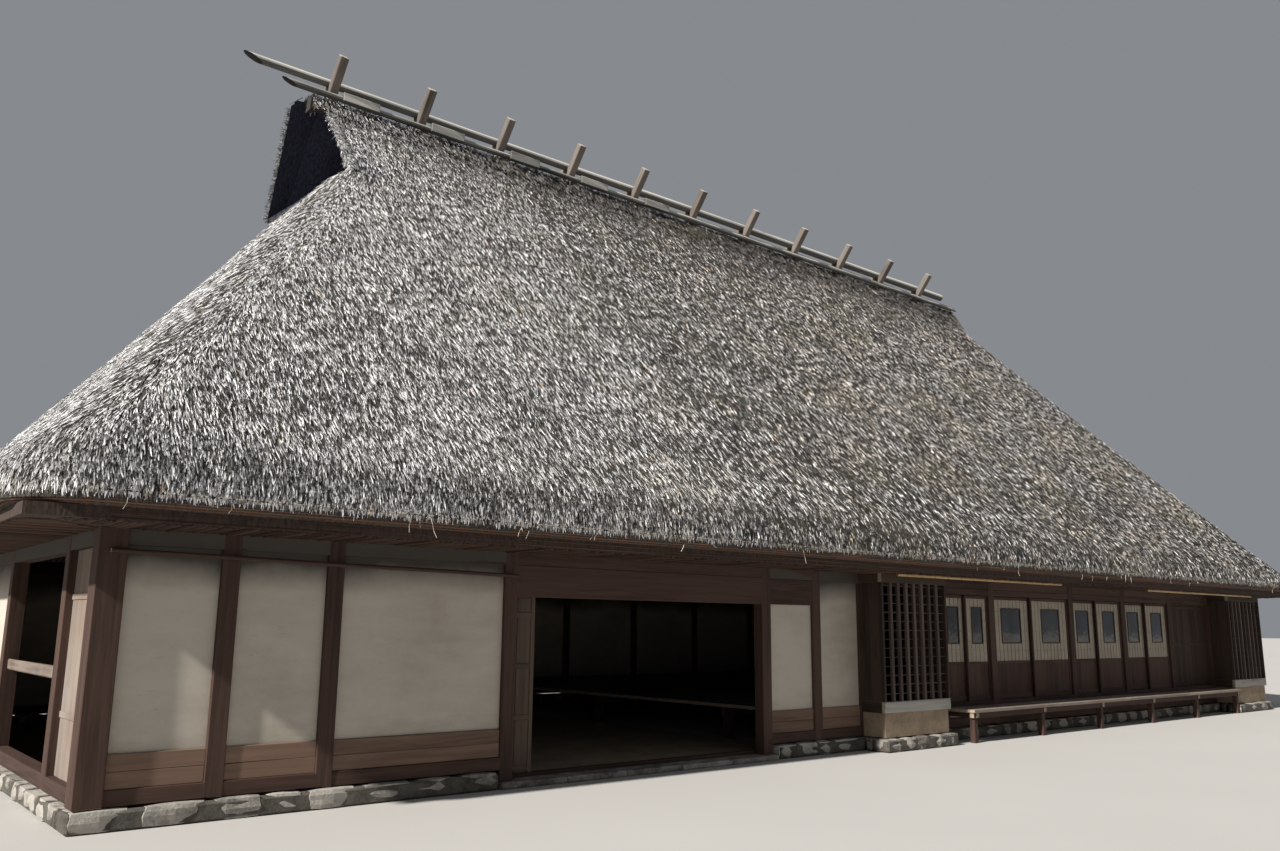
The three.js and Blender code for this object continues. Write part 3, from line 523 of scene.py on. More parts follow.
class Finish:
    """One procedural material, put together from short calls that each add a node."""

    def __init__(self, name):
        self.material = bpy.data.materials.new(name)
        self.material.use_nodes = True
        self.tree = self.material.node_tree
        self.tree.nodes.clear()

    def add(self, kind, values, output=0, **settings):
        node = self.tree.nodes.new("ShaderNode" + kind)
        for key, value in settings.items():
            setattr(node, key, value)
        for key, value in values.items():
            if isinstance(value, bpy.types.NodeSocket):
                self.tree.links.new(value, node.inputs[key])
            else:
                node.inputs[key].default_value = value
        return node.outputs[output] if node.outputs else None

    def place(self):
        return self.add("TexCoord", {}, "Object")

    def mark(self, name):
        return self.add("Attribute", {}, "Vector", attribute_name=name)

    def part(self, vector, axis):
        return self.add("SeparateXYZ", {0: vector}, axis)

    def stretch(self, vector, scale):
        return self.add("Mapping", {"Vector": vector, "Scale": scale})

    def noise(self, vector, scale, detail=4.0, roughness=0.5, distortion=0.0):
        """Cloudy noise of one scale, or stretched by a scale for each axis."""
        if isinstance(scale, tuple):
            vector, scale = self.stretch(vector, scale), 1.0
        return self.add("TexNoise", {
            "Vector": vector, "Scale": scale, "Detail": detail,
            "Roughness": roughness, "Distortion": distortion})

    def math(self, operation, a, b):
        return self.add("Math", {0: a, 1: b}, operation=operation)

    def sum(self, a, b):
        return self.math("ADD", a, b)

    def times(self, a, b):
        return self.math("MULTIPLY", a, b)

    def span(self, value, low, high, to_low=0.0, to_high=1.0):
        return self.add("MapRange", {0: value, 1: low, 2: high, 3: to_low, 4: to_high})

    def ramp(self, value, *stops):
        output = self.add("ValToRGB", {0: value})
        points = output.node.color_ramp.elements
        while len(points) < len(stops):
            points.new(0.5)
        for point, (where, colour) in zip(points, stops):
            point.position = where
            point.color = (*(colour if hasattr(colour, "__len__") else (colour,) * 3), 1)
        return output

    def mix(self, share, a, b, blend="MIX"):
        values = {0: share}
        for socket, colour in ((6, a), (7, b)):
            is_link = isinstance(colour, bpy.types.NodeSocket)
            values[socket] = colour if is_link else (*colour, 1)
        return self.add("Mix", values, 2, data_type="RGBA", blend_type=blend)

    def bump(self, height, strength, distance):
        return self.add("Bump", {"Height": height, "Strength": strength, "Distance": distance})

    def surface(self, colour, roughness, normal=None, **more):
        values = {"Base Color": colour, "Roughness": roughness}
        if normal is not None:
            values["Normal"] = normal
        values.update({key.replace("_", " "): value for key, value in more.items()})
        self.add("OutputMaterial", {"Surface": self.add("BsdfPrincipled", values)})


def wood_finish(f, dark, light, sawn="timber.sawn", fibre=26.0, silver=0.0, gloss=0.75,
                own_grain=True, damp_and_shade=1.0):
    """Old timber: stretched fibre, drying cracks, a shade for each piece, paler sawn ends, and
    painted shade: the last argument sets how dark its underside is painted beside its top."""
    sawn = picked(sawn)
    if own_grain:
        grain, marks = f.mark("grain"), f.mark("marks")
        shade, end = f.part(marks, 0), f.part(marks, 1)
        fibres = f.noise(grain, (1.1, fibre, fibre), 8.0, 0.62, 0.35)
    else:
        grain = f.place()
        shade = f.noise(grain, 0.7, 1.0)
        fibres = f.noise(grain, (fibre, fibre, 1.4), 8.0, 0.62, 0.35)
    slow = f.noise(grain, (0.8, 5.0, 5.0), 3.0)
    crack = f.span(f.noise(grain, (0.9, fibre * 1.8, fibre * 1.8), 5.0, 0.7), 0.66, 0.70)
    value = f.sum(f.times(fibres, 0.62), f.sum(f.times(slow, 0.34), f.times(shade, 0.22)))
    colour = f.ramp(value, (0.30, dark), (0.62, light), (0.86, toned(light, 1.35)))
    if silver:
        bleached = f.span(f.noise(f.place(), 1.3, 3.0), 0.35, 0.7, 0.0, silver)
        colour = f.mix(bleached, colour, (0.34, 0.32, 0.29))
    if own_grain:
        rings = f.ramp(f.noise(grain, (1, 60, 60), 2.0), (0.3, toned(sawn, 0.55)), (0.7, sawn))
        colour = f.mix(f.times(end, 0.85), colour, rings)
    colour = f.mix(crack, colour, toned(dark, 0.25))
    # Painted shade: faces that look down are painted darker than faces that look up.
    if damp_and_shade < 1:
        facing = f.part(f.add("NewGeometry", {}, "Normal"), 2)
        underside_shade = f.ramp(f.span(facing, -0.30, 0.20), (0.0, damp_and_shade), (1.0, 1))
        colour = f.mix(1.0, colour, underside_shade, "MULTIPLY")
    height = f.sum(f.times(fibres, 0.6), f.times(crack, -1.0))
    rough = f.span(fibres, 0.2, 0.8, gloss + 0.12, gloss - 0.05)
    f.surface(colour, rough, f.bump(height, 0.7, 0.004), Specular_IOR_Level=0.3)


def straw_finish(f, fall=(56, 12, 12), depth=0.0, gaps=(11.0, 0.36, 0.20)):
    """Tufts of weathered reed: bleached strands beside gaps painted black as shade, olive patches, a
    few gold stalks. `fall` stretches their painted streaks of shade down the slope, `depth` darkens
    them more near the ridge, partly as painted shade, and `gaps` gives the scale, reach and darkness
    of the painted shade in the hollows."""
    thatch = bpy.context.scene.farmhouse_thatch
    place, marks = f.place(), f.mark("marks")
    shade, tip, rare = (f.part(marks, axis) for axis in range(3))
    x, z = f.part(place, 0), f.part(place, 2)
    patch = f.noise(place, 0.8, 5.0, 0.65)
    warmth = f.sum(f.times(rare, 0.6), f.span(x, -9.0, 0.0, -0.15, 0.25))
    warmth = f.span(f.sum(warmth, f.span(patch, 0.35, 0.65, -0.25, 0.25)), 0.30, 0.85)
    colour = f.mix(warmth, thatch.silver, thatch.straw)
    # Lighter towards the left end and the top of the slope, darker low down, in broad patches.
    tone_by_place = f.sum(f.span(x, -8.5, -3.0, 0.20, -0.03), f.span(z, 2.4, 5.5, -0.06, 0.03))
    tone_by_place = f.sum(tone_by_place, f.span(patch, 0.3, 0.7, -0.07, 0.07))
    light = f.ramp(f.sum(shade, tone_by_place), (0.10, 0.015), (0.32, 0.09), (0.50, 0.42), (0.74, 1))
    # Painted shade: thin dark streaks down the slope between the strands, and broader dark hollows.
    strands = f.ramp(f.noise(place, fall, 3.0, 0.6), (0.40, 0.14), (0.52, 1))
    scale, reach, dark = gaps
    hollows = f.noise(f.stretch(place, (1.6, 1, 1)), scale, 3.0, 0.6)
    hollows = f.ramp(hollows, (reach, dark), (reach + 0.11, 1))
    for factor in (light, strands, hollows):
        colour = f.mix(1.0, colour, factor, "MULTIPLY")
    # Darker towards the ridge, less so by the gable end: partly the cap's darker straw, partly painted
    # shade under the ridge timbers.
    ridge = f.times(f.span(z, 7.2, 8.6, depth, 0.5 + depth), f.span(x, -7.4, -4.5, 0.2 + depth, 1.0))
    colour = f.mix(ridge, colour, (0.045, 0.038, 0.035))
    # The damp patches, where olive moss grows.
    damp_and_shade = f.span(f.noise(place, 0.9, 5.0, 0.65), 0.50, 0.62)
    damp_and_shade = f.times(damp_and_shade, f.span(x, -8.0, -2.0, 0.15, 0.42))
    colour = f.mix(f.times(damp_and_shade, f.span(shade, 0.2, 0.9, 1.0, 0.25)), colour, thatch.moss)
    # Painted shade at the root of each tuft, where the tuft above overlaps it.
    colour = f.mix(f.span(tip, 0.0, 0.45, 0.7, 0.0), colour, thatch.gap)
    colour = f.mix(f.span(rare, 0.9978, 0.9980), colour, thatch.fleck)
    f.surface(colour, 0.8, Specular_IOR_Level=0.25)


def thatch_bed_finish(f):
    """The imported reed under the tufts, which shows in their gaps and from inside."""
    thatch = bpy.context.scene.farmhouse_thatch
    place = f.place()
    x, z = f.part(place, 0), f.part(place, 2)
    reeds = f.noise(place, (60, 16, 16), 6.0, 0.6)
    # Coloured from the gap shade: where the bed shows between the tufts it is painted shade.
    colour = f.ramp(reeds, (0.3, thatch.gap), (0.75, toned(thatch.straw, 0.15)))
    ends = f.noise(place, (70, 70, 12), 3.0)
    pale = f.ramp(ends, (0.42, thatch.gap), (0.56, toned(thatch.straw, 0.6)))
    underside = f.times(f.span(z, 2.405, 2.415), f.span(z, 2.47, 2.50, 1.0, 0.0))
    colour = f.mix(underside, colour, pale)
    # Inside the smoke gable the reed is soot-dark and painted a bluish shade.
    hood = f.times(f.span(x, -7.30, -7.20, 1.0, 0.0), f.span(z, 7.28, 7.32))
    smoke_and_shade = f.ramp(reeds, (0.3, (0.010, 0.011, 0.020)), (0.75, (0.050, 0.052, 0.082)))
    colour = f.mix(hood, colour, smoke_and_shade)
    f.surface(colour, 0.95, f.bump(reeds, 0.8, 0.02), Specular_IOR_Level=0.1)


def plaster_finish(f):
    """Earthen plaster: straw flecks, scratches, damp patches, smoke under the eave."""
    wall = bpy.context.scene.farmhouse_wall
    place = f.place()
    z = f.part(place, 2)
    patch = f.noise(place, 0.7, 5.0, 0.6)
    trowel = f.noise(place, (3, 3, 9), 4.0, 0.6)
    grit = f.noise(place, 90.0, 3.0, 0.7)
    flecks = f.span(f.noise(place, (30, 30, 150), 2.0), 0.68, 0.72)
    scratch = f.span(f.noise(place, (7, 7, 90), 3.0, 0.7), 0.66, 0.70)
    value = f.sum(f.times(patch, 0.75), f.sum(f.times(trowel, 0.3), f.times(grit, 0.12)))
    colour = f.ramp(value, (0.40, wall.plaster_dark), (0.66, wall.plaster))
    colour = f.mix(f.times(flecks, 0.25), colour, (0.56, 0.50, 0.40))
    smoke = f.span(f.sum(z, f.times(patch, 0.45)), 2.02, 2.30, 0.0, 0.92)
    colour = f.mix(smoke, colour, wall.soot)
    splash = f.span(f.sum(z, f.times(trowel, 0.25)), 0.38, 0.85, 0.6, 0.0)
    colour = f.mix(splash, colour, toned(wall.plaster_dark, 0.62))
    colour = f.mix(f.times(scratch, 0.4), colour, toned(wall.plaster_dark, 0.5))
    height = f.sum(f.times(trowel, 0.5), f.sum(f.times(grit, 0.25), f.times(scratch, -0.5)))
    f.surface(colour, 0.93, f.bump(height, 0.5, 0.008), Specular_IOR_Level=0.2)


def mineral_finish(f, base, dark=None, scale=6.0, own_shade=False):
    """Stone or beaten earth: mottled, pitted, darker in its hollows."""
    dark = toned(base, 0.6) if dark is None else dark
    place = f.place()
    mottle = f.noise(place, scale, 6.0, 0.65)
    pits = f.noise(place, scale * 7, 4.0, 0.7)
    value = f.sum(f.times(mottle, 0.7), f.times(pits, 0.3))
    if own_shade:
        value = f.sum(value, f.span(f.part(f.mark("marks"), 0), 0, 1, -0.12, 0.12))
    colour = f.ramp(value, (0.32, dark), (0.55, base), (0.80, toned(base, 1.25)))
    lichen = f.span(f.noise(place, scale * 1.7, 3.0), 0.60, 0.68, 0.0, 0.2)
    colour = f.mix(lichen, colour, toned(base, 1.2))
    f.surface(colour, 0.92, f.bump(value, 0.8, 0.02), Specular_IOR_Level=0.25)


def reed_finish(f, dark, light):
    """Bundled reeds, each with its own shade."""
    fibres = f.noise(f.mark("grain"), (2.0, 60, 60), 6.0, 0.6)
    value = f.sum(f.times(fibres, 0.5), f.times(f.part(f.mark("marks"), 0), 0.5))
    colour = f.ramp(value, (0.15, dark), (0.8, light))
    f.surface(colour, 0.9, f.bump(fibres, 0.6, 0.004), Specular_IOR_Level=0.2)


def bed_finish(f, dark, light):
    """Packed reed or bark that shows only between the pieces laid over it."""
    fibres = f.noise(f.place(), (40, 40, 12), 6.0, 0.6)
    f.surface(f.ramp(fibres, (0.3, dark), (0.7, light)), 0.95, f.bump(fibres, 0.6, 0.01))


def bamboo_finish(f, light):
    """Dry bamboo with brown rings at its nodes and a slight sheen."""
    streaks = f.noise(f.mark("grain"), (1.5, 50, 50), 4.0)
    colour = f.ramp(streaks, (0.3, toned(light, 0.55)), (0.7, light))
    colour = f.mix(f.part(f.mark("marks"), 1), colour, (0.16, 0.09, 0.045))
    f.surface(colour, 0.45, f.bump(streaks, 0.3, 0.002), Specular_IOR_Level=0.45)


def paper_finish(f, base):
    """Aged paper with the bars behind it showing faintly, a little stained."""
    screens = bpy.context.scene.farmhouse_screens
    grain = f.mark("grain")
    lines = []
    for axis, pitch in ((0, screens.column), (1, screens.row)):
        cell = f.math("PINGPONG", f.part(grain, axis), pitch)
        lines.append(f.span(cell, 0.0, screens.muntin * 0.8, 0.45, 0.0))
    stain = f.noise(f.place(), 2.5, 5.0, 0.6)
    pulp = f.noise(f.place(), 60.0, 4.0, 0.7)
    value = f.sum(f.times(stain, 0.8), f.times(pulp, 0.2))
    colour = f.ramp(value, (0.3, toned(base, 0.72)), (0.65, base))
    colour = f.mix(f.math("MAXIMUM", *lines), colour, toned(base, 0.45))
    f.surface(colour, 0.85, f.bump(pulp, 0.3, 0.001), Specular_IOR_Level=0.25)


def glass_finish(f, dark, light):
    """Old window glass over a dark room; its dark colour is painted shade standing for the unlit room.
    """
    waves = f.noise(f.place(), 4.0, 2.0)
    colour = f.ramp(waves, (0.3, dark), (0.8, light))
    f.surface(colour, 0.06, f.bump(waves, 0.15, 0.01), Specular_IOR_Level=0.5)


def rope_finish(f, light):
    """Twisted straw rope."""
    strands = f.stretch(f.mark("grain"), (60, 30, 30))
    twist = f.add("TexWave", {"Vector": strands, "Scale": 1.0, "Distortion": 2.0})
    colour = f.ramp(twist, (0.1, toned(light, 0.35)), (0.7, light))
    f.surface(colour, 0.9, f.bump(twist, 0.7, 0.004), Specular_IOR_Level=0.2)


def floor_finish(f, base):
    """The plain stage floor."""
    colour = f.ramp(f.noise(f.place(), 0.35, 3.0), (0.3, toned(base, 0.96)), (0.7, base))
    f.surface(colour, 0.9, Specular_IOR_Level=0.2)


POST_COLOURS = ("timber.post_dark", "timber.post_light")
BOARD_COLOURS = ("timber.board_dark", "timber.board_light")

# Each finish: what makes it, its colours or the settings that hold them, and what else it needs
FINISHES = {
    "straw": (straw_finish, (), {}),
    "far_straw": (straw_finish, (), {"fall": (26, 10, 10), "gaps": (8.0, 0.40, 0.12)}),
    "hip_straw": (straw_finish, (), {"fall": (12, 56, 12)}),
    # Cap straw: darker all over, partly its own darker straw and partly painted shade under the ridge
    # timbers.
    "ridge_straw": (straw_finish, (), {"fall": (46, 13, 13), "depth": 0.25}),
    "thatch_bed": (thatch_bed_finish, (), {}),
    "old_post": (wood_finish, POST_COLOURS, {}),
    "hidden_post": (wood_finish, POST_COLOURS, {"own_grain": False}),
    "weathered_board": (wood_finish, BOARD_COLOURS, {"silver": 0.45}),
    "floor_board": (wood_finish, BOARD_COLOURS, {}),
    "lattice_bar": (wood_finish, ("timber.lattice_dark", "timber.lattice_light"), {}),
    "sooted_timber": (wood_finish, ("timber.soot_dark", "timber.soot_light"), {"own_grain": False}),
    # Ridge logs and blocks: the last setting paints shade on their undersides.
    "silver_log": (wood_finish, ("timber.grey_dark", "timber.grey_light", (0.07, 0.06, 0.05)),
                   {"fibre": 14.0, "gloss": 0.8, "damp_and_shade": 0.2}),
    "ridge_arm": (wood_finish, ((0.034, 0.028, 0.025), (0.14, 0.115, 0.10), (0.60, 0.55, 0.47)),
                  {"fibre": 20.0, "silver": 0.25}),
    "weathered_sill": (wood_finish, ((0.10, 0.095, 0.088), (0.33, 0.315, 0.29)),
                       {"fibre": 20.0, "silver": 0.3}),
    "muntin": (wood_finish, ((0.10, 0.082, 0.062), (0.30, 0.26, 0.20)), {}),
    "dado_board": (wood_finish, ((0.045, 0.028, 0.020), (0.165, 0.105, 0.075)), {"fibre": 18.0}),
    "door_board": (wood_finish, ((0.020, 0.014, 0.011), (0.095, 0.066, 0.050)), {}),
    "dark_board": (wood_finish, ((0.010, 0.007, 0.006), (0.045, 0.028, 0.020)), {"fibre": 18.0}),
    # The gable screen: soot-dark, and painted a bluish shade.
    "smoke_screen": (wood_finish, ((0.012, 0.012, 0.020), (0.050, 0.052, 0.080)),
                     {"own_grain": False}),
    "plaster": (plaster_finish, (), {}),
    "beaten_earth": (mineral_finish, ("wall.earth",), {"scale": 3.0}),
    "field_stone": (mineral_finish, ("wall.stone", "wall.stone_dark"), {"own_shade": True}),
    "stone_bed": (mineral_finish, ("wall.stone_dark", (0.03, 0.027, 0.022)), {"scale": 8.0}),
    "eave_bed": (bed_finish, ((0.016, 0.010, 0.008), (0.060, 0.036, 0.026)), {}),
    # Near black: painted shade at the cap's end and between the straws over it.
    "bark_bed": (bed_finish, ((0.010, 0.008, 0.008), (0.040, 0.032, 0.028)), {}),
    "eave_reed": (reed_finish, ((0.016, 0.009, 0.007), (0.090, 0.052, 0.038)), {}),
    "lip_reed": (reed_finish, ((0.045, 0.022, 0.015), (0.22, 0.12, 0.08)), {}),
    "loose_strand": (reed_finish, ((0.40, 0.33, 0.23), (0.90, 0.84, 0.70)), {}),
    "bamboo": (bamboo_finish, ("timber.bamboo",), {}),
    "screen_paper": (paper_finish, ("screens.paper",), {}),
    "dark_glass": (glass_finish, ((0.008, 0.010, 0.012), (0.03, 0.035, 0.04)), {}),
    "straw_rope": (rope_finish, ("timber.rope",), {}),
    "stage_floor": (floor_finish, ("stage.floor",), {}),
}
MADE = {}


def finish(name):
    """The named material, made when it is first asked for."""
    if name not in MADE:
        maker, colours, more = FINISHES[name]
        made = Finish(name)
        maker(made, *map(picked, colours), **more)
        MADE[name] = made.material
    return MADE[name]


# Straw
def facets(node):
    """Corners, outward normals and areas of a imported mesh's triangles."""
    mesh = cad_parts[node].data
    mesh.calc_loop_triangles()
    points = np.empty(len(mesh.vertices) * 3)
    mesh.vertices.foreach_get("co", points)
    index = np.empty(len(mesh.loop_triangles) * 3, np.int32)
    mesh.loop_triangles.foreach_get("vertices", index)
    corners = points.reshape(-1, 3)[index.reshape(-1, 3)]
    cross = np.cross(corners[:, 1] - corners[:, 0], corners[:, 2] - corners[:, 0])
    return corners, unit(cross), np.linalg.norm(cross, axis=1) / 2


def scatter(corners, weight, count, random):
    """Random points on triangles, and the triangle that each lies on."""
    chosen = random.choice(len(corners), count, p=weight / weight.sum())
    a, b = np.sqrt(random.uniform(0, 1, count)), random.uniform(0, 1, count)
    share = np.stack([1 - a, a * (1 - b), a * b], axis=1)
    return np.einsum("ns,nsk->nk", share, corners[chosen]), chosen


def fall_line(normals):
    """The way down each slope."""
    return unit(DOWN - normals * (normals @ DOWN)[:, None])


def lay_straws(pieces, places, normals, fall, length, width, lift, spread, stray=0.0):
    """One tapered tuft at each place, lying along `fall`. Tufts sink in long gaps that run down the
    slope and are painted darker there as painted shade, and `stray` of them are long loose stalks."""
    random = pieces.random
    side = unit(np.cross(normals, fall))
    across_place = (places * side).sum(axis=1)
    down_place = (places * fall).sum(axis=1)
    streak = np.stack([across_place / GAP_WIDTH, down_place / GAP_LENGTH, places[:, 0] * 0], axis=1)
    streak = ripple(streak, 1.0, 11)
    kept = streak >= GAP_DEPTH
    places, normals, fall, side, streak = (
        rows[kept] for rows in (places, normals, fall, side, streak))
    length, width = (np.broadcast_to(value, kept.shape)[kept] for value in (length, width))
    count = len(places)
    patch = ripple(places, 1.1, 12)
    yaw = (random.normal(0, spread, count) + patch * spread * 0.35)[:, None]
    run = unit(fall * np.cos(yaw) + side * np.sin(yaw))
    rise = np.abs(random.normal(lift, lift * 0.7, count))[:, None]
    roll = random.normal(0, 0.40, count)[:, None]
    across = unit(np.cross(normals, run))
    across = across * np.cos(roll) + normals * np.sin(roll)
    run = run * np.cos(rise) + normals * np.sin(rise)
    loose = np.where(random.uniform(0, 1, count) < stray, 1.9, 1.0)
    long = (length * random.uniform(0.6, 1.4, count) * loose)[:, None]
    wide = (width * random.uniform(0.5, 1.4, count) / loose)[:, None]
    root = places + normals * (0.007 * streak + 0.002)[:, None] - run * long * 0.45
    tip = root + run * long
    points = np.stack([root - across * wide / 2, root + across * wide / 2,
                       tip + across * wide * 0.20, tip - across * wide * 0.20], axis=1)
    # Each tuft's shade: a random tone, plus painted shade where it lies in a gap.
    shade = np.clip(random.normal(0.46, 0.24, count) + streak * 0.26 + patch * 0.04, 0, 1)
    rare = random.uniform(0, 1, count)
    ends = np.tile((0.0, 0.0, 1.0, 1.0), count)
    marks = np.stack([np.repeat(shade, 4), ends, np.repeat(rare, 4)], axis=1)
    points = points.reshape(-1, 3)
    pieces.add(points, [np.arange(len(points)).reshape(-1, 4)], points, marks)


def rounded_lip(places, normals):
    """Normals that turn evenly from the slope, round the eave lip, to its underside."""
    lean = np.interp(places[:, 2], (2.33, 2.38, 2.46, 2.95), (-0.55, -0.05, 0.10, 0.645))
    turned = unit(normals * (1, 1, 0)) * np.sqrt(1 - lean ** 2)[:, None]
    turned[:, 2] = lean
    return np.where((places[:, 2] < 2.95)[:, None], turned, normals)


def slope_straws(side, outward, seed, bands=((-99, 99),), kind="straw", full=1.0):
    """Tufts all over one slope and its eave lip, in bands from left to right, each tuft `full`
    times the usual size."""
    thatch = bpy.context.scene.farmhouse_thatch
    count = getattr(thatch, f"{side}_straws") * len(bands)
    corners, normals, areas = facets(f"thatch_{side}")
    middle = corners.mean(axis=1)
    lip = middle[:, 2] < LIP_SHOULDER + 0.05
    keep = (normals @ np.array(outward) > 0.02) & (normals[:, 2] < 0.93)
    keep &= np.where(lip, normals[:, 2] > -0.75, normals[:, 2] > 0.3)
    near = np.clip((6.0 - middle[:, 0]) / 16.0, 0, 1)
    weight = areas * keep * np.where(lip, 2.2, 1.0) * (0.75 + 0.6 * near)
    for order, (start, end) in enumerate(bands):
        pieces = Pieces(seed + order)
        places, chosen = scatter(corners, weight, count, pieces.random)
        x, y, z = places.T
        inside = (x >= start) & (x < end) & (z > FRINGE_BOTTOM)
        places, chosen = places[inside], chosen[inside]
        around = rounded_lip(places, normals[chosen])
        short = np.interp(places[:, 2], (2.40, 2.47, 2.8), (0.45, 0.7, 1.0))
        scale = 0.80 + 0.30 * np.clip((-2.0 - places[:, 0]) / 6.0, 0, 1)
        lay_straws(pieces, places, around, fall_line(around), thatch.length * scale * short * full,
                   thatch.width / scale * full, thatch.lift, thatch.spread, 0.012)
        name = f"{side}_straw_{order + 1}" if len(bands) > 1 else f"{side}_straw"
        pieces.build(name, "far_straw" if order else kind, "thatch")


class Make:
    """What every farmhouse operator shares."""

    bl_options = {"REGISTER", "UNDO"}

    def execute(self, context):
        self.make(context.scene)
        return {"FINISHED"}


class FARMHOUSE_OT_stage(Make, bpy.types.Operator):
    """Sets up the plain floor, the soft light and the camera"""

    bl_idname = "farmhouse.stage"
    bl_label = "Stage"

    def make(self, scene):
        stage = scene.farmhouse_stage
        mesh = bpy.data.meshes.new("stage_floor")
        square = ((-1, -1), (1, -1), (1, 1), (-1, 1))
        corners = [(x * FLOOR_REACH, y * FLOOR_REACH, 0) for x, y in square]
        mesh.from_pydata(corners, [], [(0, 1, 2, 3)])
        mesh.materials.append(finish("stage_floor"))
        floor = bpy.data.objects.new("stage_floor", mesh)
        scene.collection.objects.link(floor)
        floor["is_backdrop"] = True

        world = bpy.data.worlds.new("studio")
        world.use_nodes = True
        background = world.node_tree.nodes["Background"]
        background.inputs["Color"].default_value = (*stage.backdrop, 1)
        background.inputs["Strength"].default_value = stage.backdrop_strength
        scene.world = world
        scene.view_settings.view_transform = "Standard"

        key = bpy.data.lights.new("key", "SUN")
        key.energy = stage.sun_strength
        key.angle = stage.sun_size
        key.color = KEY_COLOUR
        lamp = bpy.data.objects.new("key", key)
        lamp.rotation_euler = Vector(KEY_FROM).to_track_quat("Z", "Y").to_euler()
        scene.collection.objects.link(lamp)

        lens = bpy.data.cameras.new("camera")
        lens.lens = CAMERA_LENS
        lens.sensor_width = 36.0
        lens.clip_end = 1000.0
        camera = bpy.data.objects.new("camera", lens)
        right = Vector((math.cos(CAMERA_YAW), -math.sin(CAMERA_YAW), 0))
        ahead = Vector((math.sin(CAMERA_YAW) * math.cos(CAMERA_PITCH),
                        math.cos(CAMERA_YAW) * math.cos(CAMERA_PITCH), math.sin(CAMERA_PITCH)))
        up = right.cross(ahead)
        rolled_right = right * math.cos(CAMERA_ROLL) + up * math.sin(CAMERA_ROLL)
        rolled_up = up * math.cos(CAMERA_ROLL) - right * math.sin(CAMERA_ROLL)
        turn = Matrix((rolled_right, rolled_up, -ahead)).transposed()
        camera.matrix_world = Matrix.Translation(CAMERA_PLACE) @ turn.to_4x4()
        scene.collection.objects.link(camera)
        scene.camera = camera


class FARMHOUSE_OT_thatch(Make, bpy.types.Operator):
    """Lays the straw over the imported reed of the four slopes"""

    bl_idname = "farmhouse.thatch"
    bl_label = "Thatch"

    def make(self, scene):
        dress("thatch_bed", "thatch_front", "thatch_back", "thatch_left", "thatch_right")
        slope_straws("front", (0, -1, 0), 101, FRONT_BANDS)
        slope_straws("back", (0, 1, 0), 111, full=1.4)
        slope_straws("left", (-1, 0, 0), 121, kind="hip_straw")
        slope_straws("right", (1, 0, 0), 131, kind="hip_straw", full=1.3)
        self.trim_gable(scene.farmhouse_thatch.gable_straws)

    def trim_gable(self, count):
        """Cut ends along both verges of the smoke gable."""
        rim = Pieces(141)
        random = rim.random
        z = random.uniform(GABLE_FOOT + 0.02, RIDGE_TOP - 0.08, count)
        side = np.where(random.uniform(0, 1, count) < 0.6, -1, 1)
        rise = (z - GABLE_FOOT) / (RIDGE_TOP - GABLE_FOOT)
        edge = np.where(side < 0, VERGE_FRONT, VERGE_BACK - HOOD_OUT * rise)
        half = RIDGE_HALF + (RIDGE_TOP - z) / SLOPE
        places = np.stack([edge + random.uniform(0.015, 0.09, count), side * half, z], axis=1)
        out = unit(np.stack([z * 0, side * SLOPE, z * 0 + 1], axis=1))
        fall = unit(np.array((-1.0, 0, 0)) + random.normal(0, 0.22, (count, 3)))
        fall = unit(fall - out * (fall * out).sum(axis=1)[:, None])
        lay_straws(rim, places + out * 0.012, out, fall, 0.10, 0.011, 0.05, 0.30)
        rim.build("gable_straw", "straw", "thatch")


def lip_line(inset, z):
    """The rounded outline of the thatch's lip, pulled in by `inset`."""
    path = []
    for quarter, (side_x, side_y) in enumerate(((1, 1), (-1, 1), (-1, -1), (1, -1))):
        angle = (quarter + np.linspace(0, 1, 9)) * math.pi / 2
        middle = np.array((side_x * (LIP_X - LIP_CORNER), side_y * (LIP_Y - LIP_CORNER)))
        path.append(middle + np.stack([np.cos(angle), np.sin(angle)], axis=1) * (LIP_CORNER - inset))
    path = np.concatenate([*path, path[0][:1]])
    far = np.concatenate([[0], np.cumsum(np.linalg.norm(np.diff(path, axis=0), axis=1))])
    even = np.linspace(0, far[-1], int(far[-1] / 0.15), endpoint=False)
    x, y = (np.interp(even, far, path[:, axis]) for axis in range(2))
    return np.stack([x, y, even * 0 + z], axis=1)


